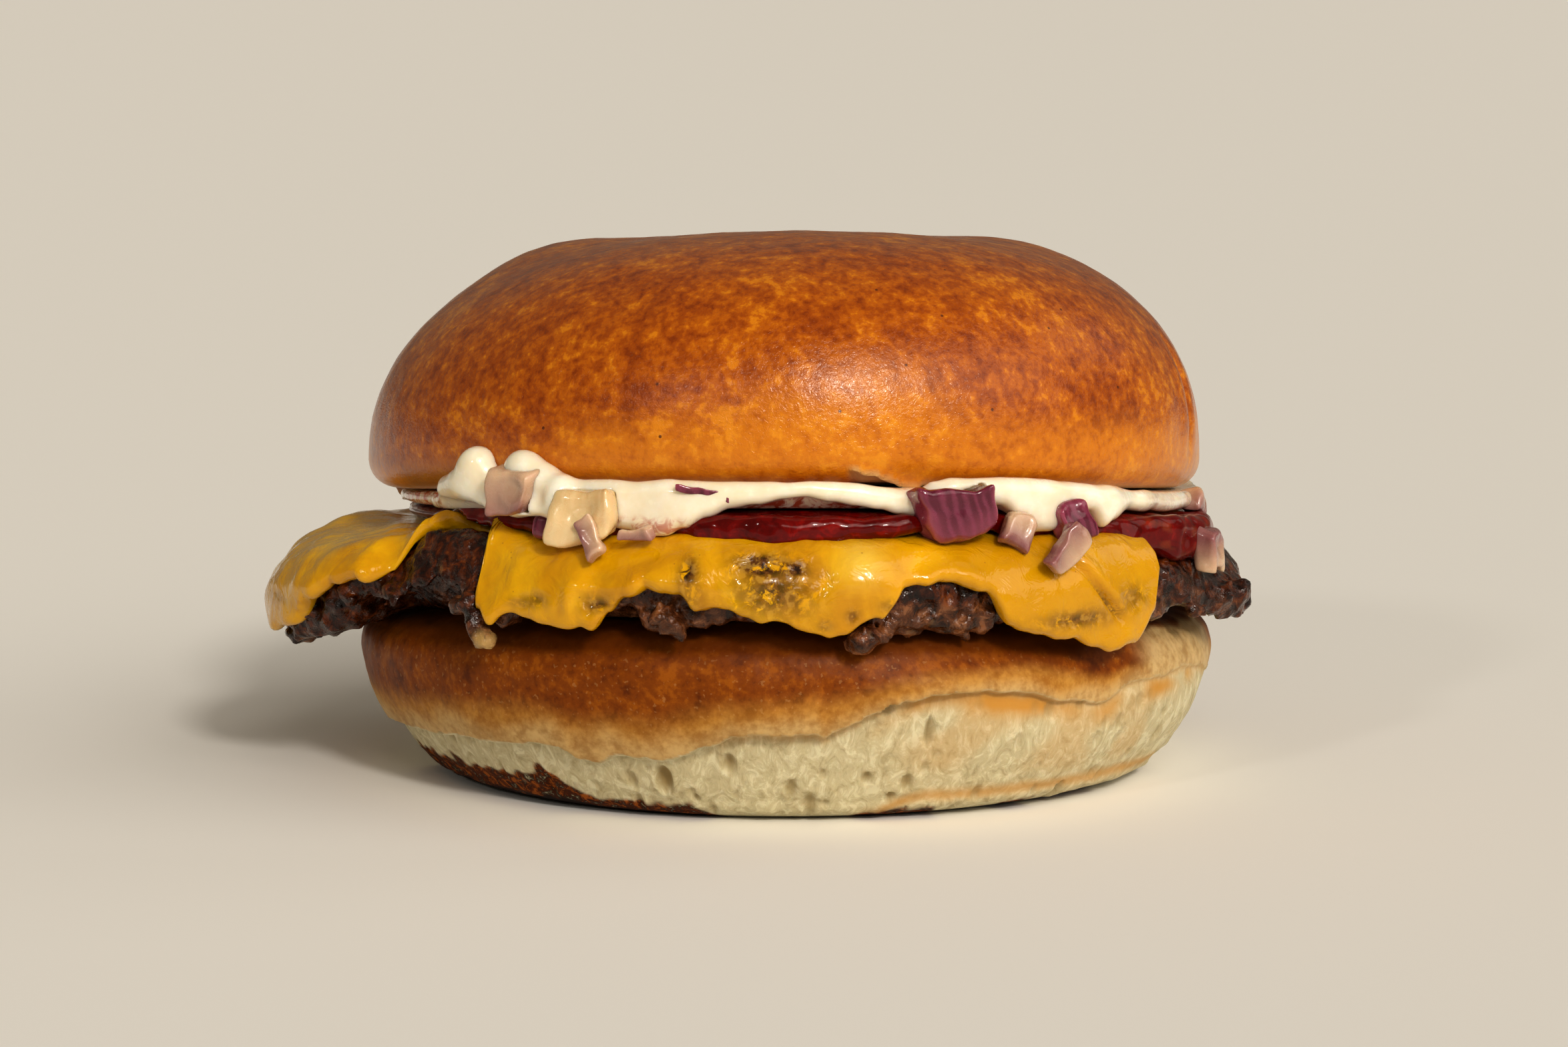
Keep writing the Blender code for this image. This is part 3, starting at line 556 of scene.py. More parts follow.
def blob(rings, field, degrees, radius, height, wide, deep, tall, blend):
    """Adds an egg shape to the field, with its size along the rim, outwards and up."""
    near = apart(rings.angles * 180 / math.pi, degrees) < math.degrees((wide + 3) / radius)
    turn = (np.degrees(rings.angle[near]) - degrees + 180) % 360 - 180
    along = np.radians(turn) * rings.radius[near] / wide
    outwards, up = (rings.radius[near] - radius) / deep, (rings.height[near] - height) / tall
    ratio = np.sqrt(along**2 + outwards**2 + up**2)
    field[near] = join(field[near], (ratio - 1) * min(wide, deep, tall), blend)


# Materials

class Look:
    """A procedural material on the Principled shader."""

    def __init__(self, name, **sockets):
        self.material = bpy.data.materials.new(name)
        self.material.use_nodes = True
        self.nodes, self.links = self.material.node_tree.nodes, self.material.node_tree.links
        self.shader = self.nodes["Principled BSDF"]
        self.place = self.nodes.new("ShaderNodeTexCoord").outputs["Object"]
        self.set(**sockets)

    def feed(self, socket, value):
        """Links an output to a socket, or sets its value."""
        if isinstance(value, bpy.types.NodeSocket):
            self.links.new(value, socket)
        elif socket.type == "RGBA" and len(value) == 3:
            socket.default_value = (*value, 1)
        else:
            socket.default_value = value

    def set(self, **sockets):
        for name, value in sockets.items():
            self.feed(self.shader.inputs[name.replace("_", " ")], value)

    def stretched(self, scale):
        """The object's coordinates, scaled."""
        node = self.nodes.new("ShaderNodeMapping")
        node.inputs["Scale"].default_value = scale
        self.links.new(self.place, node.inputs["Vector"])
        return node.outputs[0]

    def grain(self, size, detail=3.0, roughness=0.55, warp=0.0, place=None):
        """Noise from 0 to 1, with bumps of about this many millimetres."""
        node = self.nodes.new("ShaderNodeTexNoise")
        self.links.new(place or self.place, node.inputs["Vector"])
        values = {"Scale": 1 / (size * MM), "Detail": detail, "Roughness": roughness, "Distortion": warp}
        for name, value in values.items():
            node.inputs[name].default_value = value
        return node.outputs["Fac"]

    def cells(self, size, feature="F1", place=None):
        """How far it is to the middle of the nearest cell, for cells of about this many millimetres."""
        node = self.nodes.new("ShaderNodeTexVoronoi")
        node.feature = feature
        if feature == "SMOOTH_F1":
            node.inputs["Smoothness"].default_value = 0.6
        node.inputs["Scale"].default_value = 1 / (size * MM)
        self.links.new(place or self.place, node.inputs["Vector"])
        return node.outputs["Distance"]

    def mark(self, name):
        """A value that the mesh has at its points."""
        node = self.nodes.new("ShaderNodeAttribute")
        node.attribute_name = name
        return node.outputs["Fac"]

    def maths(self, operation, first, second):
        node = self.nodes.new("ShaderNodeMath")
        node.operation = operation
        self.feed(node.inputs[0], first)
        self.feed(node.inputs[1], second)
        return node.outputs[0]

    def plus(self, first, second):
        return self.maths("ADD", first, second)

    def times(self, first, second):
        return self.maths("MULTIPLY", first, second)

    def span(self, value, low, high, to_low=0.0, to_high=1.0):
        """A smooth step between two results as the value goes from low to high."""
        node = self.nodes.new("ShaderNodeMapRange")
        node.interpolation_type = "SMOOTHSTEP"
        self.feed(node.inputs["Value"], value)
        limits = {"From Min": low, "From Max": high, "To Min": to_low, "To Max": to_high}
        for name, number in limits.items():
            node.inputs[name].default_value = number
        return node.outputs["Result"]

    def blend(self, share, first, second):
        node = self.nodes.new("ShaderNodeMix")
        node.data_type = "RGBA"
        self.feed(node.inputs[0], share)
        self.feed(node.inputs[6], first)
        self.feed(node.inputs[7], second)
        return node.outputs[2]

    def ramp(self, value, *stops):
        """Colours for a value from 0 to 1, through stops of (value, colour)."""
        node = self.nodes.new("ShaderNodeValToRGB")
        node.color_ramp.interpolation = "EASE"
        ramp = node.color_ramp.elements
        while len(ramp) < len(stops):
            ramp.new(0.5)
        for element, (at, colour) in zip(ramp, stops):
            element.position, element.color = at, (*colour, 1)
        self.feed(node.inputs[0], value)
        return node.outputs[0]

    def bump(self, height, depth, strength=1.0):
        """Adds fine relief; depth is in millimetres."""
        node = self.nodes.new("ShaderNodeBump")
        node.inputs["Strength"].default_value = strength
        node.inputs["Distance"].default_value = depth * MM
        self.feed(node.inputs["Height"], height)
        linked = self.shader.inputs["Normal"].links
        if linked:
            self.links.new(linked[0].from_socket, node.inputs["Normal"])
        for name in ("Normal", "Coat Normal"):
            self.links.new(node.outputs[0], self.shader.inputs[name])


def crust_look():
    """Glazed, mottled crust; the mark bake_and_painted_light is 0 where it is amber and 1 where it is brown,
    partly as painted shade and highlight.
    """
    look = Look(
        "crust", Specular_IOR_Level=0.15, Coat_Weight=0.65, Coat_Roughness=0.15, Subsurface_Weight=0.04,
        Subsurface_Radius=(0.8, 0.3, 0.1), Subsurface_Scale=0.0012,
    )
    bake_and_painted_light = look.mark("bake_and_painted_light")
    patches = look.times(look.grain(2.6, 3, 0.6, 0.3), 0.44)
    flecks = look.grain(1.0, 3, 0.6, 0.2)
    mottle = look.plus(patches, look.times(flecks, 0.36))
    mottle = look.plus(mottle, look.times(look.grain(13.0, 2, 0.5), 0.20))
    brown = look.ramp(
        mottle, (0.38, (0.25, 0.045, 0.0004)), (0.45, (0.35, 0.075, 0.0005)), (0.53, (0.47, 0.122, 0.0008)),
        (0.61, (0.65, 0.225, 0.004)),
    )
    amber = look.ramp(
        mottle, (0.38, (0.50, 0.145, 0.001)), (0.50, (0.63, 0.210, 0.003)), (0.62, (0.74, 0.290, 0.008)),
    )
    colour = look.blend(look.span(bake_and_painted_light, 0.05, 0.85), amber, brown)
    pits = look.span(look.cells(5.0), 0.045, 0.03)
    colour = look.blend(look.times(pits, 0.8), colour, (0.07, 0.012, 0.002))
    # Darker along the rim's lower left
    colour = look.blend(look.mark("dark_patch"), colour, (0.22, 0.055, 0.006))
    colour = look.blend(look.mark("pale"), colour, (0.74, 0.46, 0.19))
    look.set(Base_Color=colour, Roughness=look.span(flecks, 0.3, 0.7, 0.28, 0.40))
    look.bump(look.grain(2.0, 3, 0.6), 0.07, 0.5)
    look.bump(look.grain(0.55, 3, 0.65, 0.8), 0.085, 1.0)
    look.bump(look.grain(0.28, 2, 0.6, 0.5), 0.026, 1.0)
    return look.material


def lower_bun_look():
    """Crust above, torn crumb below, with toasting at the base and grease soaked in at the right, and
    painted shade: a shadow under the patty, dark pores and a contact shadow at the foot.
    """
    look = Look(
        "lower_bun", Specular_IOR_Level=0.15, Subsurface_Weight=0.15, Subsurface_Radius=(1.0, 0.5, 0.2),
        Subsurface_Scale=0.0015,
    )
    bake_and_painted_light, crumb = look.mark("bake_and_painted_light"), look.mark("crumb")
    patches = look.grain(4.0, 4, 0.6, 0.3)
    flecks = look.grain(0.9, 3, 0.6)
    mottle = look.plus(look.times(patches, 0.6), look.times(flecks, 0.4))
    brown = look.ramp(
        mottle, (0.36, (0.130, 0.027, 0.0005)), (0.50, (0.23, 0.056, 0.0008)), (0.62, (0.34, 0.100, 0.003)),
    )
    tan = look.ramp(mottle, (0.36, (0.36, 0.150, 0.018)), (0.62, (0.54, 0.28, 0.056)))
    # Brown at the top, partly painted shade, and tan towards the crease
    crust = look.blend(look.span(bake_and_painted_light, 0.1, 0.8), tan, brown)
    worn = look.ramp(mottle, (0.36, (0.44, 0.28, 0.11)), (0.62, (0.64, 0.47, 0.23)))
    crust = look.blend(look.mark("edge"), crust, worn)
    dust = look.span(look.grain(0.55, 1, 0.5), 0.66, 0.72)
    crust = look.blend(look.times(dust, 0.22), crust, (0.60, 0.36, 0.14))
    # Oil spots, and a painted shadow along the top under the patty
    crust = look.blend(look.mark("oil_and_painted_shadow"), crust, (0.13, 0.030, 0.001))
    wisps = look.grain(1.6, 4, 0.7, 1.2, look.stretched((1, 1, 0.45)))
    soft = look.ramp(
        wisps, (0.32, (0.46, 0.39, 0.235)), (0.48, (0.58, 0.51, 0.325)), (0.64, (0.71, 0.65, 0.45)),
    )
    soft = look.blend(look.mark("grease"), soft, (0.56, 0.29, 0.062))
    # Painted shade: the pores are darker inside
    soft = look.blend(look.mark("pore"), soft, (0.34, 0.25, 0.115))
    colour = look.blend(crumb, crust, soft)
    streaks = look.grain(1.1, 4, 0.7, 0.8)
    toast = look.times(look.mark("toast"), look.span(streaks, 0.22, 0.44))
    burnt = look.ramp(
        streaks, (0.38, (0.016, 0.005, 0.001)), (0.50, (0.085, 0.018, 0.002)), (0.64, (0.36, 0.10, 0.010)),
    )
    colour = look.blend(toast, colour, burnt)
    # Near black along the very foot: char, and painted contact shadow where the base meets the floor
    colour = look.blend(look.mark("char_and_contact_shadow"), colour, (0.018, 0.007, 0.003))
    look.set(Base_Color=colour, Roughness=look.span(crumb, 0.0, 1.0, 0.46, 0.78))
    look.bump(look.cells(0.9, "SMOOTH_F1", look.stretched((1, 1, 0.6))), 0.07, 0.5)
    look.bump(look.grain(0.5, 3, 0.7, 0.5), 0.05, 0.5)
    return look.material


def patty_look():
    """Charred and wet outside, with grey-brown meat where it is broken."""
    look = Look(
        "patty", Specular_IOR_Level=0.08, Coat_Weight=0.75, Coat_Roughness=0.05, Subsurface_Weight=0.05,
        Subsurface_Radius=(1.0, 0.4, 0.2), Subsurface_Scale=0.001,
    )
    lumps = look.grain(1.7, 4, 0.65, 0.6)
    char = look.ramp(
        lumps, (0.36, (0.007, 0.0013, 0.0003)), (0.48, (0.029, 0.0048, 0.0007)),
        (0.58, (0.088, 0.017, 0.0016)), (0.68, (0.20, 0.050, 0.005)),
    )
    meat = look.ramp(
        lumps, (0.36, (0.022, 0.006, 0.0015)), (0.50, (0.098, 0.031, 0.009)), (0.64, (0.26, 0.11, 0.045)),
    )
    colour = look.blend(look.mark("char"), meat, char)
    fat = look.span(look.grain(2.8, 2, 0.5), 0.66, 0.74)
    colour = look.blend(look.times(fat, 0.45), colour, (0.26, 0.13, 0.05))
    colour = look.blend(look.mark("fat"), colour, (0.55, 0.36, 0.13))
    look.set(Base_Color=colour, Roughness=look.span(look.grain(0.9, 2), 0.35, 0.65, 0.16, 0.46))
    look.bump(look.cells(1.15, "SMOOTH_F1"), 0.30, 0.9)
    look.bump(look.grain(0.7, 3, 0.65), 0.24, 0.9)
    return look.material


def cheese_look():
    """Melted slice: glossy, a little translucent, darker where the meat shows through, with painted shade at
    the front right and a painted highlight on the left flap.
    """
    look = Look(
        "cheese", Specular_IOR_Level=0.15, Subsurface_Weight=0.25, Subsurface_Radius=(1.0, 0.7, 0.05),
        Subsurface_Scale=0.0012, Coat_Weight=0.70, Coat_Roughness=0.06,
    )
    cloud = look.grain(7.0, 3, 0.55, 0.5)
    colour = look.ramp(
        cloud, (0.34, (0.61, 0.295, 0.0003)), (0.50, (0.72, 0.378, 0.0004)), (0.68, (0.81, 0.458, 0.002)),
    )
    # Painted shade at the front right, and random darker patches
    colour = look.blend(look.mark("amber"), colour, (0.61, 0.312, 0.0005))
    # Paler over the bubble at the front; on the left flap this is a painted highlight
    colour = look.blend(look.mark("pale"), colour, (0.84, 0.60, 0.10))
    through = look.times(look.mark("thin"), look.span(look.grain(1.5, 4, 0.65, 0.6), 0.35, 0.48))
    dark_patch = look.ramp(
        look.grain(1.0, 3), (0.38, (0.026, 0.007, 0.001)), (0.50, (0.13, 0.045, 0.007)),
        (0.62, (0.35, 0.20, 0.04)),
    )
    colour = look.blend(through, colour, dark_patch)
    specks = look.span(look.cells(2.1), 0.07, 0.03)
    colour = look.blend(look.times(specks, 0.5), colour, (0.25, 0.09, 0.01))
    look.set(Base_Color=colour, Roughness=look.span(look.grain(2.5, 3), 0.35, 0.65, 0.20, 0.38))
    look.bump(look.grain(2.8, 3, 0.6, 0.8), 0.34, 0.7)
    look.bump(look.grain(0.5, 2), 0.03, 0.4)
    return look.material


def ketchup_look():
    """Wet, dark pulp; the mark cream is where mayonnaise has run into it."""
    look = Look(
        "ketchup", Specular_IOR_Level=0.12, Coat_Weight=0.40, Coat_Roughness=0.09, Subsurface_Weight=0.25,
        Subsurface_Radius=(1.0, 0.12, 0.05), Subsurface_Scale=0.0010,
    )
    pulp = look.grain(1.6, 4, 0.6, 0.6)
    colour = look.ramp(
        pulp, (0.32, (0.085, 0.0006, 0.0002)), (0.52, (0.14, 0.0010, 0.0003)), (0.70, (0.25, 0.003, 0.0006)),
    )
    colour = look.blend(look.mark("cream"), colour, (0.55, 0.16, 0.04))
    look.set(Base_Color=colour, Roughness=look.span(pulp, 0.35, 0.65, 0.12, 0.24))
    look.bump(look.grain(1.3, 2), 0.07, 0.35)
    return look.material


def mayo_look():
    """Glossy cream; the mark pink is where ketchup has run into it."""
    look = Look(
        "mayonnaise", Specular_IOR_Level=0.3, Coat_Weight=0.7, Coat_Roughness=0.06, Subsurface_Weight=0.6,
        Subsurface_Radius=(1.0, 0.8, 0.5), Subsurface_Scale=0.0018,
    )
    cloud = look.grain(3.0, 3)
    colour = look.ramp(cloud, (0.30, (0.88, 0.79, 0.60)), (0.70, (0.94, 0.88, 0.74)))
    pink = look.times(look.mark("pink"), look.span(look.grain(1.8, 3, 0.6, 0.8), 0.40, 0.58))
    colour = look.blend(pink, colour, (0.50, 0.10, 0.04))
    look.set(Base_Color=colour, Roughness=look.span(look.grain(1.5, 2), 0.35, 0.65, 0.16, 0.28))
    look.bump(look.grain(2.2, 2), 0.06, 0.3)
    return look.material


def onion_look(kind):
    """Wet layers of onion with fine veins along them; the mark skin is 1 at the coloured face."""
    inner, outer, veins = {
        "blush": ((0.66, 0.47, 0.31), (0.27, 0.105, 0.11), (0.48, 0.27, 0.21)),
        "ivory": ((0.84, 0.64, 0.36), (0.70, 0.50, 0.25), (0.92, 0.78, 0.52)),
        "purple": ((0.34, 0.07, 0.12), (0.12, 0.004, 0.026), (0.33, 0.060, 0.13)),
    }[kind]
    look = Look(
        "onion_" + kind, Specular_IOR_Level=0.55, Coat_Weight=0.45, Coat_Roughness=0.10,
        Subsurface_Weight=0.45, Subsurface_Radius=(1.0, 0.6, 0.5), Subsurface_Scale=0.0016,
    )
    grain = look.grain(1.2, 3, 0.6, 0.5)
    lines = look.plus(look.times(look.mark("vein"), 0.7), look.times(grain, 0.5))
    colour = look.blend(look.mark("skin"), inner, outer)
    depth = 0.40 if kind == "purple" else 0.15
    colour = look.blend(look.times(look.span(lines, 0.45, 0.85), depth), colour, veins)
    look.set(Base_Color=colour, Roughness=look.span(grain, 0.35, 0.65, 0.16, 0.34))
    look.bump(lines, 0.05, 0.4)
    look.bump(look.grain(0.5, 2), 0.04, 0.5)
    return look.material


# Upper bun

def upper_bun_sections(angle):
    """Radii and heights of the upper bun's sections: dome, rounded rim and flat underside."""
    right = np.cos(angle)
    climb = np.radians(np.linspace(0, 90, 400))[None, :]
    radius = UPPER_RADIUS * np.sin(climb) ** (2 / (SIDE_FULLNESS + SIDE_FULLER * right))
    dome = np.cos(climb).clip(0) ** (2 / (DOME_FULLNESS + DOME_FULLER * right))
    rise = DOME_HEIGHT
    for x, y, half, tall in HUMPS:
        hump = bell(radius * right - x, half) * bell(radius * np.sin(angle) - y, HUMP_DEPTH)
        rise = rise + tall * hump
    height = foot_of(angle, radius) + RIM_ROUND + rise * dome
    under = np.radians(np.linspace(90, 0, 60))[None, 1:]
    rim_radius = UPPER_RADIUS - RIM_ROUND + RIM_ROUND * np.sin(under) + 0 * angle
    rim_height = foot_of(angle, rim_radius) + RIM_ROUND * (1 - np.cos(under))
    flat = np.linspace(UPPER_RADIUS - RIM_ROUND, 0, 30)[None, 1:] + 0 * angle
    radii = np.concatenate([radius, rim_radius, flat], axis=1)
    heights = np.concatenate([height, rim_height, foot_of(angle, flat)], axis=1)
    return respace(radii, heights, UPPER_ROWS, lambda r, z: (r < 44) & (z < 45), 0.12)


def build_upper_bun():
    angle = spread(BUN_STEPS)[:, None]
    turn = np.degrees(angle)
    radii, heights = upper_bun_sections(angle)
    grid = polar(angle, radii, heights)
    foot = foot_of(angle, radii)
    above = heights - foot
    out = normals(grid)
    lift = 0.30 * noise(grid, 24, 3) + 0.14 * noise(grid, 9, 4)
    # A soft crease runs up the right side
    fold = apart(turn, 343.5 + 0.25 * (heights - 44))
    side = window(turn, 338, 350, 6) * past(heights, 36, 4) * before(heights, 56, 8)
    lift += (0.30 * bell(fold - 3.0, 2.2) - 0.45 * bell(fold, 1.1)) * side
    fine = 0.05 * noise(grid, 3.0, 5) + 0.02 * noise(grid, 1.2, 6) + 0.015 * nodules(grid, 1.1, 7)
    grid = grid + out * ((lift + fine) * (0.15 + 0.85 * past(above, 3, 6)))[..., None]
    # A torn flap of crust curls from the front edge, over a hollow of pale crumb
    outside = radii > 46
    line = foot + 2.0 - 0.20 * (turn - 278.5) + 0.25 * noise(grid * (1, 1, 0), 1.8, 12)
    flap = window(turn, 278.6, 288.6, 1.6) * outside
    grid += out * (flap * (0.62 * bell(heights - line, 0.34) - 0.30 * before(heights, line, 0.5)))[..., None]
    bake_and_painted_light = 0.05 + 0.80 * past(above, 2.5, 9.5) + 0.15 * past(above, 10, 12)
    # Painted shade: browner low on the left, where less light falls
    bake_and_painted_light += 0.55 * window(turn, 185, 240, 22) * past(above, 1, 3)
    # Painted highlight: more amber round the key light's highlight on the front
    bake_and_painted_light -= 0.50 * spot(turn, heights, 281, 50, 13, 7)
    bake_and_painted_light += 0.14 * noise(grid, 13, 8) + 0.07 * noise(grid, 5, 9)
    bake_and_painted_light = np.where(outside, bake_and_painted_light, np.where(above < 2, 0.0, 1.0))
    pale = np.where(outside, flap * before(heights, line + 0.35, 0.3), above < 2)
    pale = np.maximum(pale, 0.7 * before(above, 0.9, 0.9) * outside)
    # Darker along the lowest 5 mm of the rim at the left
    dark_patch = 0.85 * window(turn, 206, 232, 8) * before(above, 5.0, 5.0) * past(radii, 44, 3)
    piece = loft("upper_bun_crust", grid, crust_look(), {"bake_and_painted_light": bake_and_painted_light, "pale": pale, "dark_patch": dark_patch})
    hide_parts("upper_bun")


# Lower bun

def heel_crease(angle, turn):
    """The height at which the heel's crust ends over the crumb, and how ragged that edge is."""
    line = polar(angle[:, 0], 50.0, 0.0)
    ragged = 0.25 + windows(turn, [(0.75, 258, 292, 6), (0.3, 60, 140, 20)])
    crease = ring(turn, CREASE) + (0.35 * noise(line, 6, 21) + 0.22 * noise(line, 2.2, 22))[:, None]
    return crease + 0.25 * ragged * noise(line, 0.9, 23)[:, None], ragged


def heel_fold(turn):
    """The height of the fold low in the crumb at the front right."""
    return 2.6 * window(turn, 286, 345, 10)


def heel_sections(angle, turn, top, crease, ragged):
    """Radii and heights of the heel's sections: top, crust with its lip, step, wall of crumb and base."""
    calm = 1 - 0.8 * window(turn, 312, 430, 16)
    lip = (0.45 + 0.40 * ragged) * calm
    setback = (0.6 + 0.6 * ragged) * calm

    def side(height):
        lean = HEEL_LEAN * np.cos(angle) * (1 - height / top)
        return curve(np.clip(height / top, 0, 1), LOWER_SIDE) + lean

    flat = np.linspace(0, LOWER_SIDE[-1][1], 30)[None, :] + 0 * angle
    down = np.linspace(0, 1, 240)[None, 1:]
    crust = mix(top, crease, down)
    crust_radius = side(crust) + lip * past(down, 0.45, 0.5)
    under = np.linspace(0, 1, 24)[None, 1:]
    under_height = crease - LIP_THICK * np.sin(under * math.pi * 0.5)
    under_radius = side(crease) + lip - (lip + setback) * under**1.5
    fall = np.linspace(0, 1, 200)[None, 1:]
    wall = mix(crease - LIP_THICK, LOWER_SIDE[1][0] * top, fall)
    wall_radius = side(wall) - setback * (1 - fall)
    wall_radius += 0.9 * np.sin(math.pi * fall) * window(turn, 296, 345, 14)
    wall_radius += 0.5 * bell(wall - heel_fold(turn) + 0.6, 0.9) * window(turn, 290, 345, 8)
    base = np.array([LOWER_SIDE[0][1], 30.0, 0.0]) + 0 * angle
    radii = np.concatenate([flat, crust_radius, under_radius, wall_radius, base], axis=1)
    flat_height = level(LOWER_TOP, LOWER_LIFT, angle, flat)
    heights = np.concatenate([flat_height, crust, under_height, wall, 0 * base], axis=1)
    return respace(radii, heights, HEEL_ROWS, lambda r, z: (r < HEEL_BASE) | ((r < 45) & (z > 17)), 0.08)


def heel_pores(turn, heights):
    """The depth of the pores in the crumb, and the height of the soft rims round them."""
    pore, rims = np.zeros_like(heights), np.zeros_like(heights)
    draw = np.random.default_rng(5)
    pores = list(HEEL_PORES)
    for _ in range(420):
        size = 0.25 + 0.75 * draw.random() ** 2.4
        place = draw.uniform(0, 360), draw.uniform(1.0, 15.0)
        pores.append((*place, size, size * draw.uniform(0.8, 2.0), size * draw.uniform(0.4, 0.8)))
    for middle, up, wide, tall, deep in pores:
        close = np.flatnonzero(apart(turn[:, 0], middle) < math.degrees(2.2 * wide / 50))
        along = np.radians(apart(turn[close], middle)) * 50 / wide
        away = along**2 + ((heights[close] - up) / tall) ** 2
        pore[close] = np.maximum(pore[close], deep * (1 - away.clip(0, 1)) ** 0.8)
        rims[close] += 0.14 * deep * bell(np.sqrt(away) - 1.15, 0.22)
    return pore, rims


def heel_crust_marks(turn, heights, grid, top, crease):
    """How brown, worn and oily the heel's crust is, with painted shade in the brown and a painted shadow
    along its top.
    """
    share = ((heights - crease) / (top - crease)).clip(0, 1)
    # Browner towards the top: partly baking, partly painted shade under the patty and cheese
    bake_and_painted_light = ease(share / 0.62) + 0.14 * noise(grid, 9, 28) - 0.35 * window(turn, 296, 330, 14) * (1 - share)
    # Browner still at the top right: painted shade, with grease
    bake_and_painted_light += 0.35 * window(turn, 282, 318, 12) * past(share, 0.45, 0.3) - 0.25 * window(turn, 336, 359, 10)
    bake_and_painted_light += 0.5 * spot(turn, heights, 320, 18.0, 8, 2.6)
    edge = 0.75 * before(share, 0.26 + 0.10 * noise(grid, 6, 37), 0.26)
    bare = 0.9 * window(turn, 323, 352, 7) * before(share, 0.88 + 0.15 * noise(grid, 5, 38), 0.15)
    oil_and_painted_shadow = spots(turn, heights, HEEL_OIL) * ease(0.5 + noise(grid, 3.0, 36))
    # Painted shadow: a dark band along the top of the crust at the front, under the patty
    oil_and_painted_shadow += 0.85 * past(heights / top, 0.80, 0.12) * window(turn, 205, 325, 16)
    return {"bake_and_painted_light": bake_and_painted_light, "edge": np.maximum(edge, bare), "oil_and_painted_shadow": oil_and_painted_shadow}


def heel_crumb_marks(turn, heights, grid, crease, crumb, pore):
    """How greasy, open and toasted the heel's crumb is, with painted shade in its pores and a painted
    contact shadow along its foot.
    """
    below = crease - heights
    patches = noise(grid, 7, 33)
    grease = 0.9 * bell(below - 1.2 - 1.2 * patches, 1.5) * window(turn, 282, 340, 10)
    grease *= ease(0.75 + 1.2 * noise(grid, 6, 34))
    grease += 0.35 * window(turn, 286, 330, 12) * past(patches, -0.3, 0.5) * past(heights, 3, 4)
    grease = np.maximum(grease, 0.6 * bell(below - 0.3, 0.8) * window(turn, 262, 350, 8))
    grease = np.maximum(grease, 0.8 * bell(heights - heel_fold(turn) - 0.4, 0.8) * window(turn, 282, 340, 6))
    toast = windows(turn, HEEL_TOAST) * (1 + 0.35 * noise(grid, 2.0, 35))
    return {
        "crumb": crumb,
        "grease": (0.85 * grease).clip(0, 1) * crumb,
        # Painted shade inside the pores
        "pore": (pore / 0.8).clip(0, 1) * crumb,
        "toast": before(heights, toast, 0.7) * (toast > 0.1),
        # Char, and painted contact shadow, along the very foot
        "char_and_contact_shadow": before(heights, toast * 0.32, 0.4) * (toast > 0.3),
    }


def build_lower_bun():
    angle = spread(BUN_STEPS)[:, None]
    turn = np.degrees(angle)
    top = level(LOWER_TOP, LOWER_LIFT, angle, LEAN_RADIUS)
    crease, ragged = heel_crease(angle, turn)
    radii, heights = heel_sections(angle, turn, top, crease, ragged)
    grid = polar(angle, radii, heights)
    crumb = before(heights, crease - 0.02, 0.12) * (radii > HEEL_BASE)
    show = past(heights, 0.25, 0.8) * (radii > 43)
    lift = 0.30 * noise(grid, 14, 25) + 0.12 * noise(grid, 5, 26) + 0.05 * noise(grid, 1.4, 27)
    pore, rims = heel_pores(turn, heights)
    tear = 0.17 * rough(grid * (1, 1, 0.6), 3.4, 31, 4, 0.55) - 0.05 + rims
    smooth = window(turn, 290, 350, 14) * past(heights, 3, 5) + 0.8 * window(turn, 215, 246, 8)
    tear *= 1 - 0.65 * smooth.clip(0, 1)
    pore *= 1 - 0.5 * smooth.clip(0, 1)
    move = mix(lift, tear + 0.4 * lift - pore, crumb) * show
    grid = grid + normals(grid) * move[..., None]
    grid[..., 2] = np.maximum(grid[..., 2], 0.0)
    marks = heel_crust_marks(turn, heights, grid, top, crease)
    marks |= heel_crumb_marks(turn, heights, grid, crease, crumb, pore)
    piece = loft("lower_bun_crust_and_crumb", grid, lower_bun_look(), marks)
    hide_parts("lower_bun")


# Patty

def patty_raise(turn, radius):
    """Where the patty's edge curls up at the front left, hangs at both ends and waves elsewhere."""
    curl = 0.5 * np.sin(np.radians(turn * 7 + 40)) * past(radius, 48, 6)
    for size, start, end, soft, inner, width in PATTY_CURLS:
        curl = curl + size * window(turn, start, end, soft) * past(radius, inner, width)
    return curl


def patty_thin(turn, radius):
    """How far the patty's lower face is torn away."""
    thin = windows(turn, PATTY_TORN) + 3.0 * window(turn, 214, 234, 6) * past(radius, 52, 5)
    return thin * past(radius, 47, 4)


def patty_face(angle, radius, side):
    """The height of the patty's upper face for side 1, or of its lower face for side -1."""
    beyond = radius - DROOP_FROM
    hang = (PATTY_DROOP + PATTY_HANG * (side < 0)) * (beyond + np.hypot(beyond, DROOP_SOFTNESS)) / 2
    turn = np.degrees(angle) % 360
    half = PATTY_HALF - PATTY_HALF_LIFT * radius * np.sin(angle) / LEAN_RADIUS
    middle = level(PATTY_MIDDLE, PATTY_LIFT, angle, radius) - hang + patty_raise(turn, radius)
    return middle + half if side > 0 else middle - half + patty_thin(turn, radius)


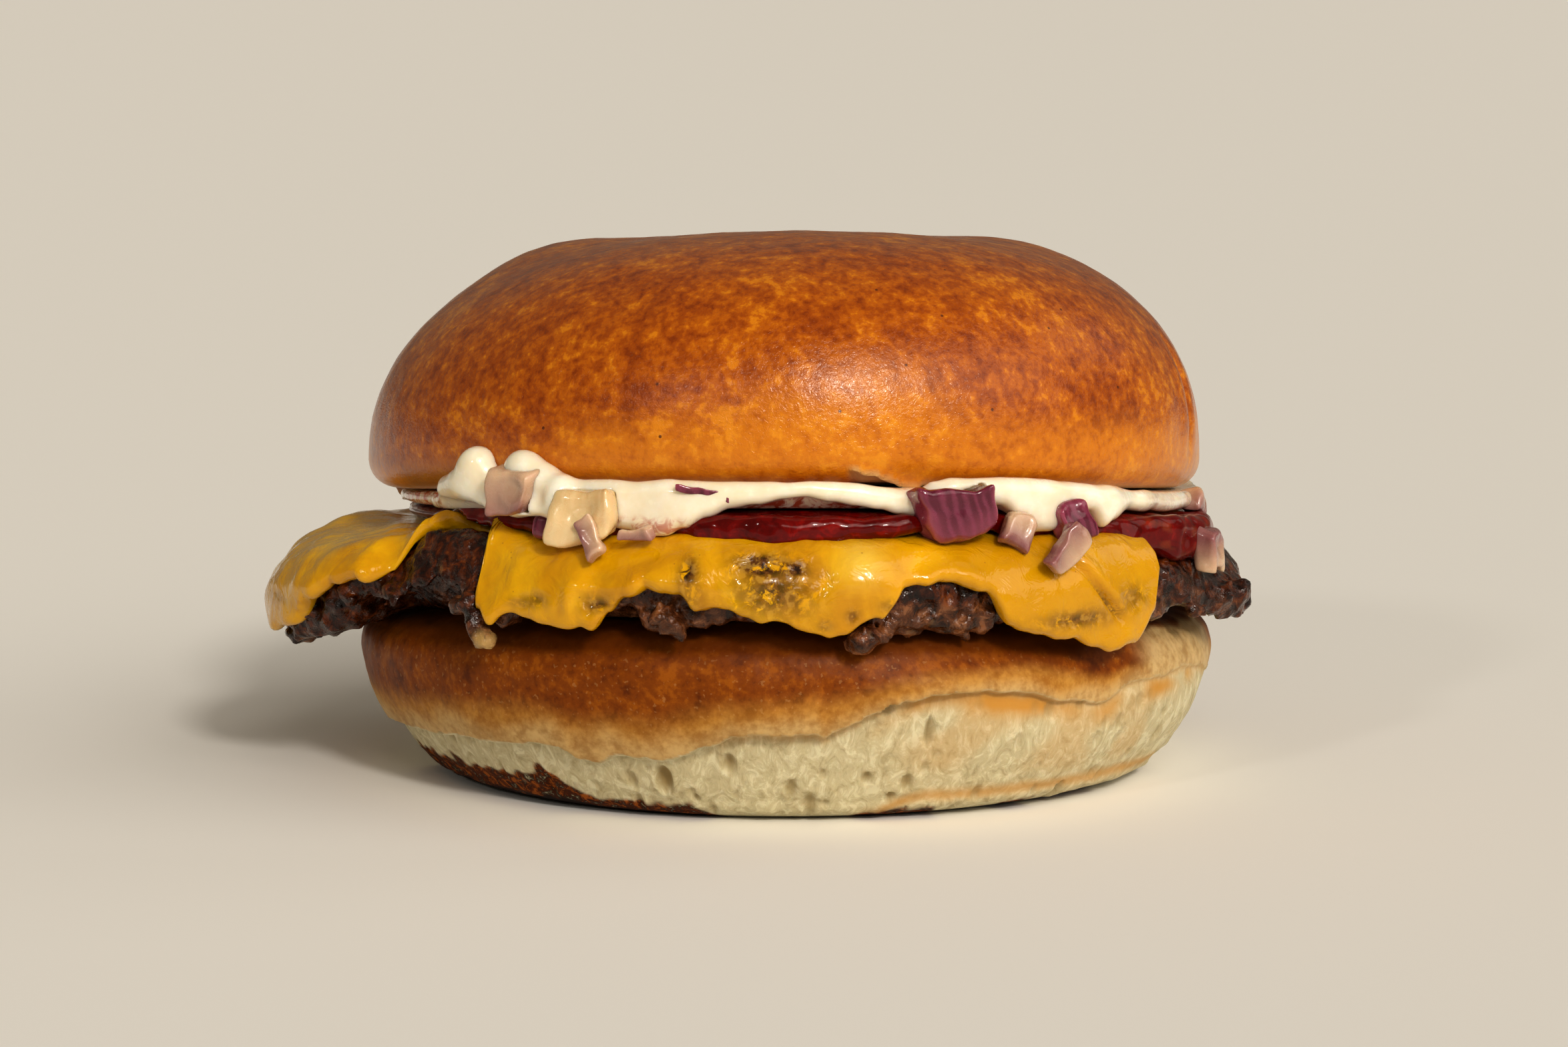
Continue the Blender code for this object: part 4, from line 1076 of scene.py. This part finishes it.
def build_patty():
    rings = Rings(*PATTY_RINGS)
    upper = patty_face(rings.angle, rings.radius, 1) - 0.15
    upper -= 1.3 * window(rings.turn, 326, 354, 6) * past(rings.radius, 53, 3)
    lower = np.minimum(patty_face(rings.angle, rings.radius, -1) + 0.1, upper - 2.2)
    field = slab(rings, ring(rings.turn, PATTY_REACH) - 0.3, upper, lower, 2.6)
    for degrees, radius, height, size in CRUMBS:
        blob(rings, field, degrees, radius, height, size * 1.1, size, size, 0.7)
    near = np.abs(field) < 2.6
    points, turn = rings.points(near), rings.turn[near]
    shift = points + 0.7 * np.stack([noise(points, 3.1, 41 + k) for k in range(3)], axis=-1)
    outer = past(rings.radius[near], 48.5, 3)
    lumps = 0.85 * (nodules(shift, 2.6, 44) - 0.45) + 0.70 * (nodules(shift, 1.35, 45) - 0.45)
    waves = 0.60 * noise(points, 5.0, 46) + 0.45 * noise(points, 1.5, 47)
    # Under the cheese the relief is weaker, so that the meat doesn't break through it
    cover = ((rings.height[near] - upper[near] + 1.6) / 1.2).clip(0, 1)
    cover *= (1 - window(turn, 207, 229, 3)) * (1 - window(turn, 322, 352, 3))
    amount = (lumps + waves) * outer
    amount = np.where(amount > 0, amount * (1 - 0.75 * cover), amount * (1 - 0.5 * cover))
    field[near] -= amount + 0.12 * (1 - outer)
    points, faces = skin(rings, field, PATTY_MIDDLE, PATTY_LIFT)
    angle, turn, radius = bearing(points)
    upper, lower = patty_face(angle, radius, 1), patty_face(angle, radius, -1)
    char = past((points[:, 2] - lower) / (upper - lower), 0.42, 0.25) + 0.7 * noise(points, 3.2, 48) + 0.25
    char += windows(turn, [(0.8, 196, 226, 5), (0.35, 326, 356, 6)])
    fat = np.exp(-(np.linalg.norm(points - polar(*FAT_PLACE), axis=1) / FAT_SIZE) ** 4)
    piece = make("patty_crags", points, faces, patty_look(), {"char": char, "fat": fat})
    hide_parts("patty")


# Cheese

def over_patty(angle, along, out):
    """Radius and height of a place this far along the patty's top, its round edge and down, and off it."""
    straight = ring(np.degrees(angle) % 360, PATTY_REACH) - PATTY_ROUND
    bend = PATTY_ROUND + CHEESE_THICK / 2
    swing = np.clip((along - straight) / bend, 0.0, math.pi / 2)
    radius = np.minimum(along, straight) + (PATTY_ROUND + out) * np.sin(swing)
    hang = np.maximum(along - straight - bend * math.pi / 2, 0.0)
    face = patty_face(angle, radius, 1) - PATTY_ROUND
    return radius, face + (PATTY_ROUND + out) * np.cos(swing) - hang


def cheese_sections(angle, turn):
    """Radii and heights of the slice's sections: upper face, rounded hem and lower face."""
    line = polar(angle[:, 0], 55.0, 0.0)
    reach = ring(turn, CHEESE_REACH) + (0.7 * noise(line, 4.5, 51) + 0.35 * noise(line, 1.8, 52))[:, None]
    half = CHEESE_THICK / 2
    hem = reach - half
    alongs = np.concatenate([np.linspace(0, 40, 8), np.linspace(40, 100, 90)[1:]])[None, :]
    along = np.where(alongs <= 40, alongs, 40 + (alongs - 40) / 60 * (hem - 40))
    swing = np.radians(np.linspace(90, -90, 12))[None, 1:-1]
    faces = [
        over_patty(angle, along, CHEESE_GAP + CHEESE_THICK),
        over_patty(angle, hem + half * np.cos(swing), CHEESE_GAP + half + half * np.sin(swing)),
        over_patty(angle, along[:, ::-1], np.full_like(along, CHEESE_GAP)),
    ]
    radii, heights = (np.concatenate(parts, axis=1) for parts in zip(*faces))
    return respace(radii, heights, CHEESE_ROWS, lambda r, z: r < 44, 0.12)


def build_cheese():
    angle = spread(CHEESE_STEPS)[:, None]
    turn = np.degrees(angle)
    radii, heights = cheese_sections(angle, turn)
    grid = polar(angle, radii, heights)
    out = normals(grid)
    # A seam slants down the front right corner, where the slice is folded
    seam = turn - 311.4 + 0.95 * (heights - 25.0)
    seamed = past(heights, 22, 3) * before(heights, 33.5, 3)
    thin = spots(turn, heights, CHEESE_STAINS) + 0.5 * window(turn, 30, 60, 10) * before(heights, 24, 3)
    # The groove of the seam is darkened along its line
    thin += 0.8 * seamed * bell(seam, 0.4) * before(heights, 28.5, 3)
    thin *= out[..., 2] * 0.3 + 0.7
    lift = 0.55 * noise(grid, 9, 53) + 0.42 * noise(grid, 4.2, 54) + 0.10 * noise(grid, 1.8, 55)
    lift += spots(turn, heights, CHEESE_LIFTS)
    lift -= seamed * (1.1 * bell(seam, 0.6) - 0.45 * bell(seam - 1.7, 1.2))
    lift -= 0.55 * thin * (0.6 + 0.8 * noise(grid, 1.6, 57))
    grid = grid + out * (lift * past(radii, 46, 4) * 0.8)[..., None]
    grid[..., 2] += spots(turn, radii, CHEESE_SAGS)
    pale = 0.75 * spot(turn, heights, 278.9, 31.2, 2.6, 2.0)
    # Painted highlight: the top of the left flap is paler where the light catches it
    pale += 0.4 * window(turn, 168, 206, 6) * past(heights, 27, 3)
    # Painted shade: darker at the front right, toning down the side light there, with random darker patches
    amber = 0.75 * window(turn, 288, 330, 8) + 0.45 * noise(grid, 6.0, 58)
    piece = loft("cheese_slice", grid, cheese_look(), {"thin": thin, "pale": pale, "amber": amber})
    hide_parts("cheese")


# Sauces

def die_frames():
    """Each die of onion as (row, place, turn): turn takes the die's own axes to the burger's."""
    for row in ONION_DICE:
        angle = math.radians(row[0])
        turn = Matrix.Rotation(angle + math.pi / 2, 3, "Z") @ Matrix.Rotation(math.radians(row[6]), 3, "Y")
        yield row, polar(angle, row[1], row[2]), np.array(turn)


def press_dice(rings, field):
    """Makes room in the field for the dice of onion."""
    for row, place, turn in die_frames():
        near = np.flatnonzero(apart(np.degrees(rings.angles), row[0]) < 9)
        away = (polar(rings.angle[near], rings.radius[near], rings.height[near]) - place) @ turn
        over = np.abs(away) - (np.array(row[3:6]) / 2 - POCKET_INSET - POCKET_ROUND)
        box = np.linalg.norm(np.maximum(over, 0), axis=-1) + np.minimum(over.max(axis=-1), 0) - POCKET_ROUND
        field[near] = np.maximum(field[near], -box)


def build_ketchup():
    rings = Rings(*KETCHUP_RINGS)
    spill = past(rings.radius, 48.5, 3)
    top = level(KETCHUP_TOP, KETCHUP_LIFT, rings.angle, rings.radius)
    under = patty_face(rings.angle, np.minimum(rings.radius, 50.0), 1)
    low = mix(under + 2.9, ring(rings.turn, KETCHUP_LOW), spill)
    top = np.maximum(mix(top, top - 0.4, spill), low + 1.0)
    field = slab(rings, ring(rings.turn, KETCHUP_OUT), top, low, 1.5)
    near = np.abs(field) < 1.6
    points = rings.points(near)
    field[near] -= (0.35 * noise(points, 4.5, 61) + 0.22 * noise(points, 1.9, 62)) * spill[near]
    press_dice(rings, field)
    points, faces = skin(rings, field, KETCHUP_MIDDLE, KETCHUP_MIDDLE_LIFT)
    turn = bearing(points)[1]
    cream = 0.15 * window(turn, 322, 345, 5) * past(noise(points * (1, 1, 1.8), 1.9, 63), 0.10, 0.5)
    piece = make("ketchup_puddle", points, faces, ketchup_look(), {"cream": cream})
    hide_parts("ketchup")


def bun_above(rings):
    """The field of the upper bun's rim, which the mayonnaise bulges round."""
    foot = foot_of(rings.angle, UPPER_RADIUS)
    core = UPPER_RADIUS - RIM_ROUND
    above = np.minimum(rings.height - (foot + RIM_ROUND), 0)
    round_rim = np.hypot(rings.radius - core, above) - RIM_ROUND + 0.05
    bun = np.where(rings.radius > core, round_rim, -9.0)
    return np.where(rings.height < foot - 0.1, 9.0, bun)


def build_mayonnaise():
    rings = Rings(*MAYO_RINGS)
    spill = past(rings.radius, 49.4, 2.4)
    edge = foot_of(rings.angle, UPPER_RADIUS) + ring(rings.turn, MAYO_RISE)
    top = mix(foot_of(rings.angle, rings.radius) - 0.15, edge, spill)
    low = level(KETCHUP_TOP, KETCHUP_LIFT, rings.angle, rings.radius) + 0.2
    low = mix(low, ring(rings.turn, MAYO_LOW), spill)
    field = slab(rings, ring(rings.turn, MAYO_OUT), top, low, 1.6)
    for each in MAYO_BLOBS:
        blob(rings, field, *each, 1.6)
    near = np.abs(field) < 1.6
    points = rings.points(near)
    field[near] -= (0.26 * noise(points, 5.0, 71) + 0.07 * noise(points, 2.2, 72)) * spill[near]
    field = np.maximum(field, -bun_above(rings))
    press_dice(rings, field)
    points, faces = skin(rings, field, MAYO_MIDDLE, MAYO_MIDDLE_LIFT)
    _, turn, radius = bearing(points)
    height = points[:, 2]
    pink = 0.7 * window(turn, 242, 300, 12) * before(height, 36.6, 1.2) + 0.2 * window(turn, 324, 340, 4)
    pink = np.maximum(pink, window(turn, 263, 286, 4) * before(radius, 51.8, 0.8))
    pink = np.maximum(pink, 1.2 * window(turn, 190, 217, 4) * before(height, 39, 1.0))
    piece = make("mayonnaise_squeeze", points, faces, mayo_look(), {"pink": pink})
    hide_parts("mayonnaise")


# Onion

def cube_grid(cuts):
    """(points, faces) of a cube from -1 to 1, with its sides cut into this many squares along each edge."""
    index, quads = {}, []
    for axis in range(3):
        for end, i, j in product((0, cuts), range(cuts), range(cuts)):
            corners = []
            for a, b in ((0, 0), (1, 0), (1, 1), (0, 1)):
                key = tuple(np.roll((end, i + a, j + b), axis).tolist())
                corners.append(index.setdefault(key, len(index)))
            quads.append(corners if end else corners[::-1])
    return np.array(list(index)) / cuts * 2 - 1, quads


def die_mesh(cube, row, place, turn, seed):
    """A cut piece of onion layer: (points, veins, shade) of a blunt block, bent and drawn out of square."""
    size, draw = np.array(row[3:6]), np.random.default_rng(seed)
    half = size / 2
    blunt = min(0.9, 0.55 * half.min())
    core = np.sign(cube) * np.minimum(np.abs(cube) * half, half - blunt)
    away = cube * half - core
    length = np.linalg.norm(away, axis=1, keepdims=True)
    reach = np.minimum(np.abs(away).max(axis=1, keepdims=True), blunt)
    points = core + away / np.maximum(length, 1e-9) * reach
    skew = draw.uniform(-0.20, 0.20, (3, 3)) * (1 - np.eye(3))
    taper = 1 + draw.uniform(-0.22, 0.22) * cube[:, [0]] + draw.uniform(-0.15, 0.15) * cube[:, [2]]
    points = (points * taper) @ (np.eye(3) + skew)
    bend = cube[:, 0] ** 2 - 0.4
    points[:, 1] -= draw.uniform(0.4, 0.8) * bend * size[1] * 0.25
    points[:, 2] += draw.uniform(-0.5, 0.5) * bend * size[2] * 0.3
    vein = cube[:, 0] * size[0] * 2.6 + 1.5 * noise(points, 2.0, seed) + draw.uniform(0, 6)
    vein = 0.5 + 0.5 * np.sin(vein)
    points += 0.42 * np.stack([noise(points, 2.2, seed + 5 + k) for k in range(3)], axis=-1)
    points[:, 1] += 0.03 * (vein - 0.5) * np.sign(cube[:, 1])
    shade = 0.5 - 0.5 * cube[:, 2] * draw.choice([-1, 1]) + 0.315 * noise(points + 9, 3.0, seed + 2)
    if row[7] == "purple":
        shade = shade + 0.45 - 0.9 * past(np.abs(cube[:, 0]), 0.84, 0.16) * (draw.random() < 0.7)
    return points @ turn.T + place, vein, shade


def build_onion():
    cube, quads = cube_grid(14)
    for kind in ("blush", "ivory", "purple"):
        dice = [(number, *die) for number, die in enumerate(die_frames(), 1) if die[0][7] == kind]
        meshes = [die_mesh(cube, *die, 100 + number) for number, *die in dice]
        points, veins, shades = (np.concatenate(parts) for parts in zip(*meshes))
        faces = [[corner + k * len(cube) for corner in quad] for k in range(len(dice)) for quad in quads]
        marks = {"vein": veins, "skin": shades}
        piece = make("diced_onion_" + kind, points, faces, onion_look(kind), marks)
        nodes = [f"onion_{die[0]:02d}" for die in dice]
        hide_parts(*nodes)


# Studio

def aim(item, place, target):
    item.location = place
    item.rotation_euler = (Vector(target) - Vector(place)).to_track_quat("-Z", "Y").to_euler()


def soft_sun(name, azimuth, elevation, softness, strength, colour):
    """Even light from a wide source far away; azimuth is in degrees to the right of the camera."""
    light = bpy.data.lights.new(name, "SUN")
    light.angle, light.energy, light.color = math.radians(softness), strength, colour
    item = bpy.data.objects.new(name, light)
    bpy.context.scene.collection.objects.link(item)
    side, up = math.radians(azimuth), math.radians(elevation)
    aim(item, (math.sin(side) * math.cos(up), -math.cos(side) * math.cos(up), math.sin(up)), (0, 0, 0))


def build_studio():
    scene = bpy.context.scene
    scene.view_settings.view_transform = "Standard"
    scene.view_settings.gamma = GAMMA
    world = bpy.data.worlds.new("room")
    scene.world = world
    world.use_nodes = True
    world.node_tree.nodes["Background"].inputs["Color"].default_value = (*ROOM_COLOUR, 1)
    world.node_tree.nodes["Background"].inputs["Strength"].default_value = ROOM_LIGHT
    mesh = bpy.data.meshes.new("floor")
    corners = [(x * FLOOR_HALF, y * FLOOR_HALF, 0) for x, y in ((-1, -1), (1, -1), (1, 1), (-1, 1))]
    mesh.from_pydata(corners, [], [(0, 1, 2, 3)])
    look = Look("floor", Base_Color=(0.93, 0.92, 0.89), Roughness=0.8, Specular_IOR_Level=0.1)
    mesh.materials.append(look.material)
    floor = bpy.data.objects.new("floor", mesh)
    scene.collection.objects.link(floor)
    for sun in SUNS:
        soft_sun(*sun)
    camera = bpy.data.cameras.new("camera")
    camera.lens, camera.sensor_width = LENS, SENSOR
    camera.clip_start, camera.clip_end = 0.01, 200.0
    item = bpy.data.objects.new("camera", camera)
    scene.collection.objects.link(item)
    item.location = CAMERA_PLACE
    item.rotation_euler = (math.radians(CAMERA_PITCH), 0, 0)
    scene.camera = item


def main():
    build_upper_bun()
    build_lower_bun()
    build_patty()
    build_cheese()
    build_ketchup()
    build_mayonnaise()
    build_onion()
    build_studio()


main()
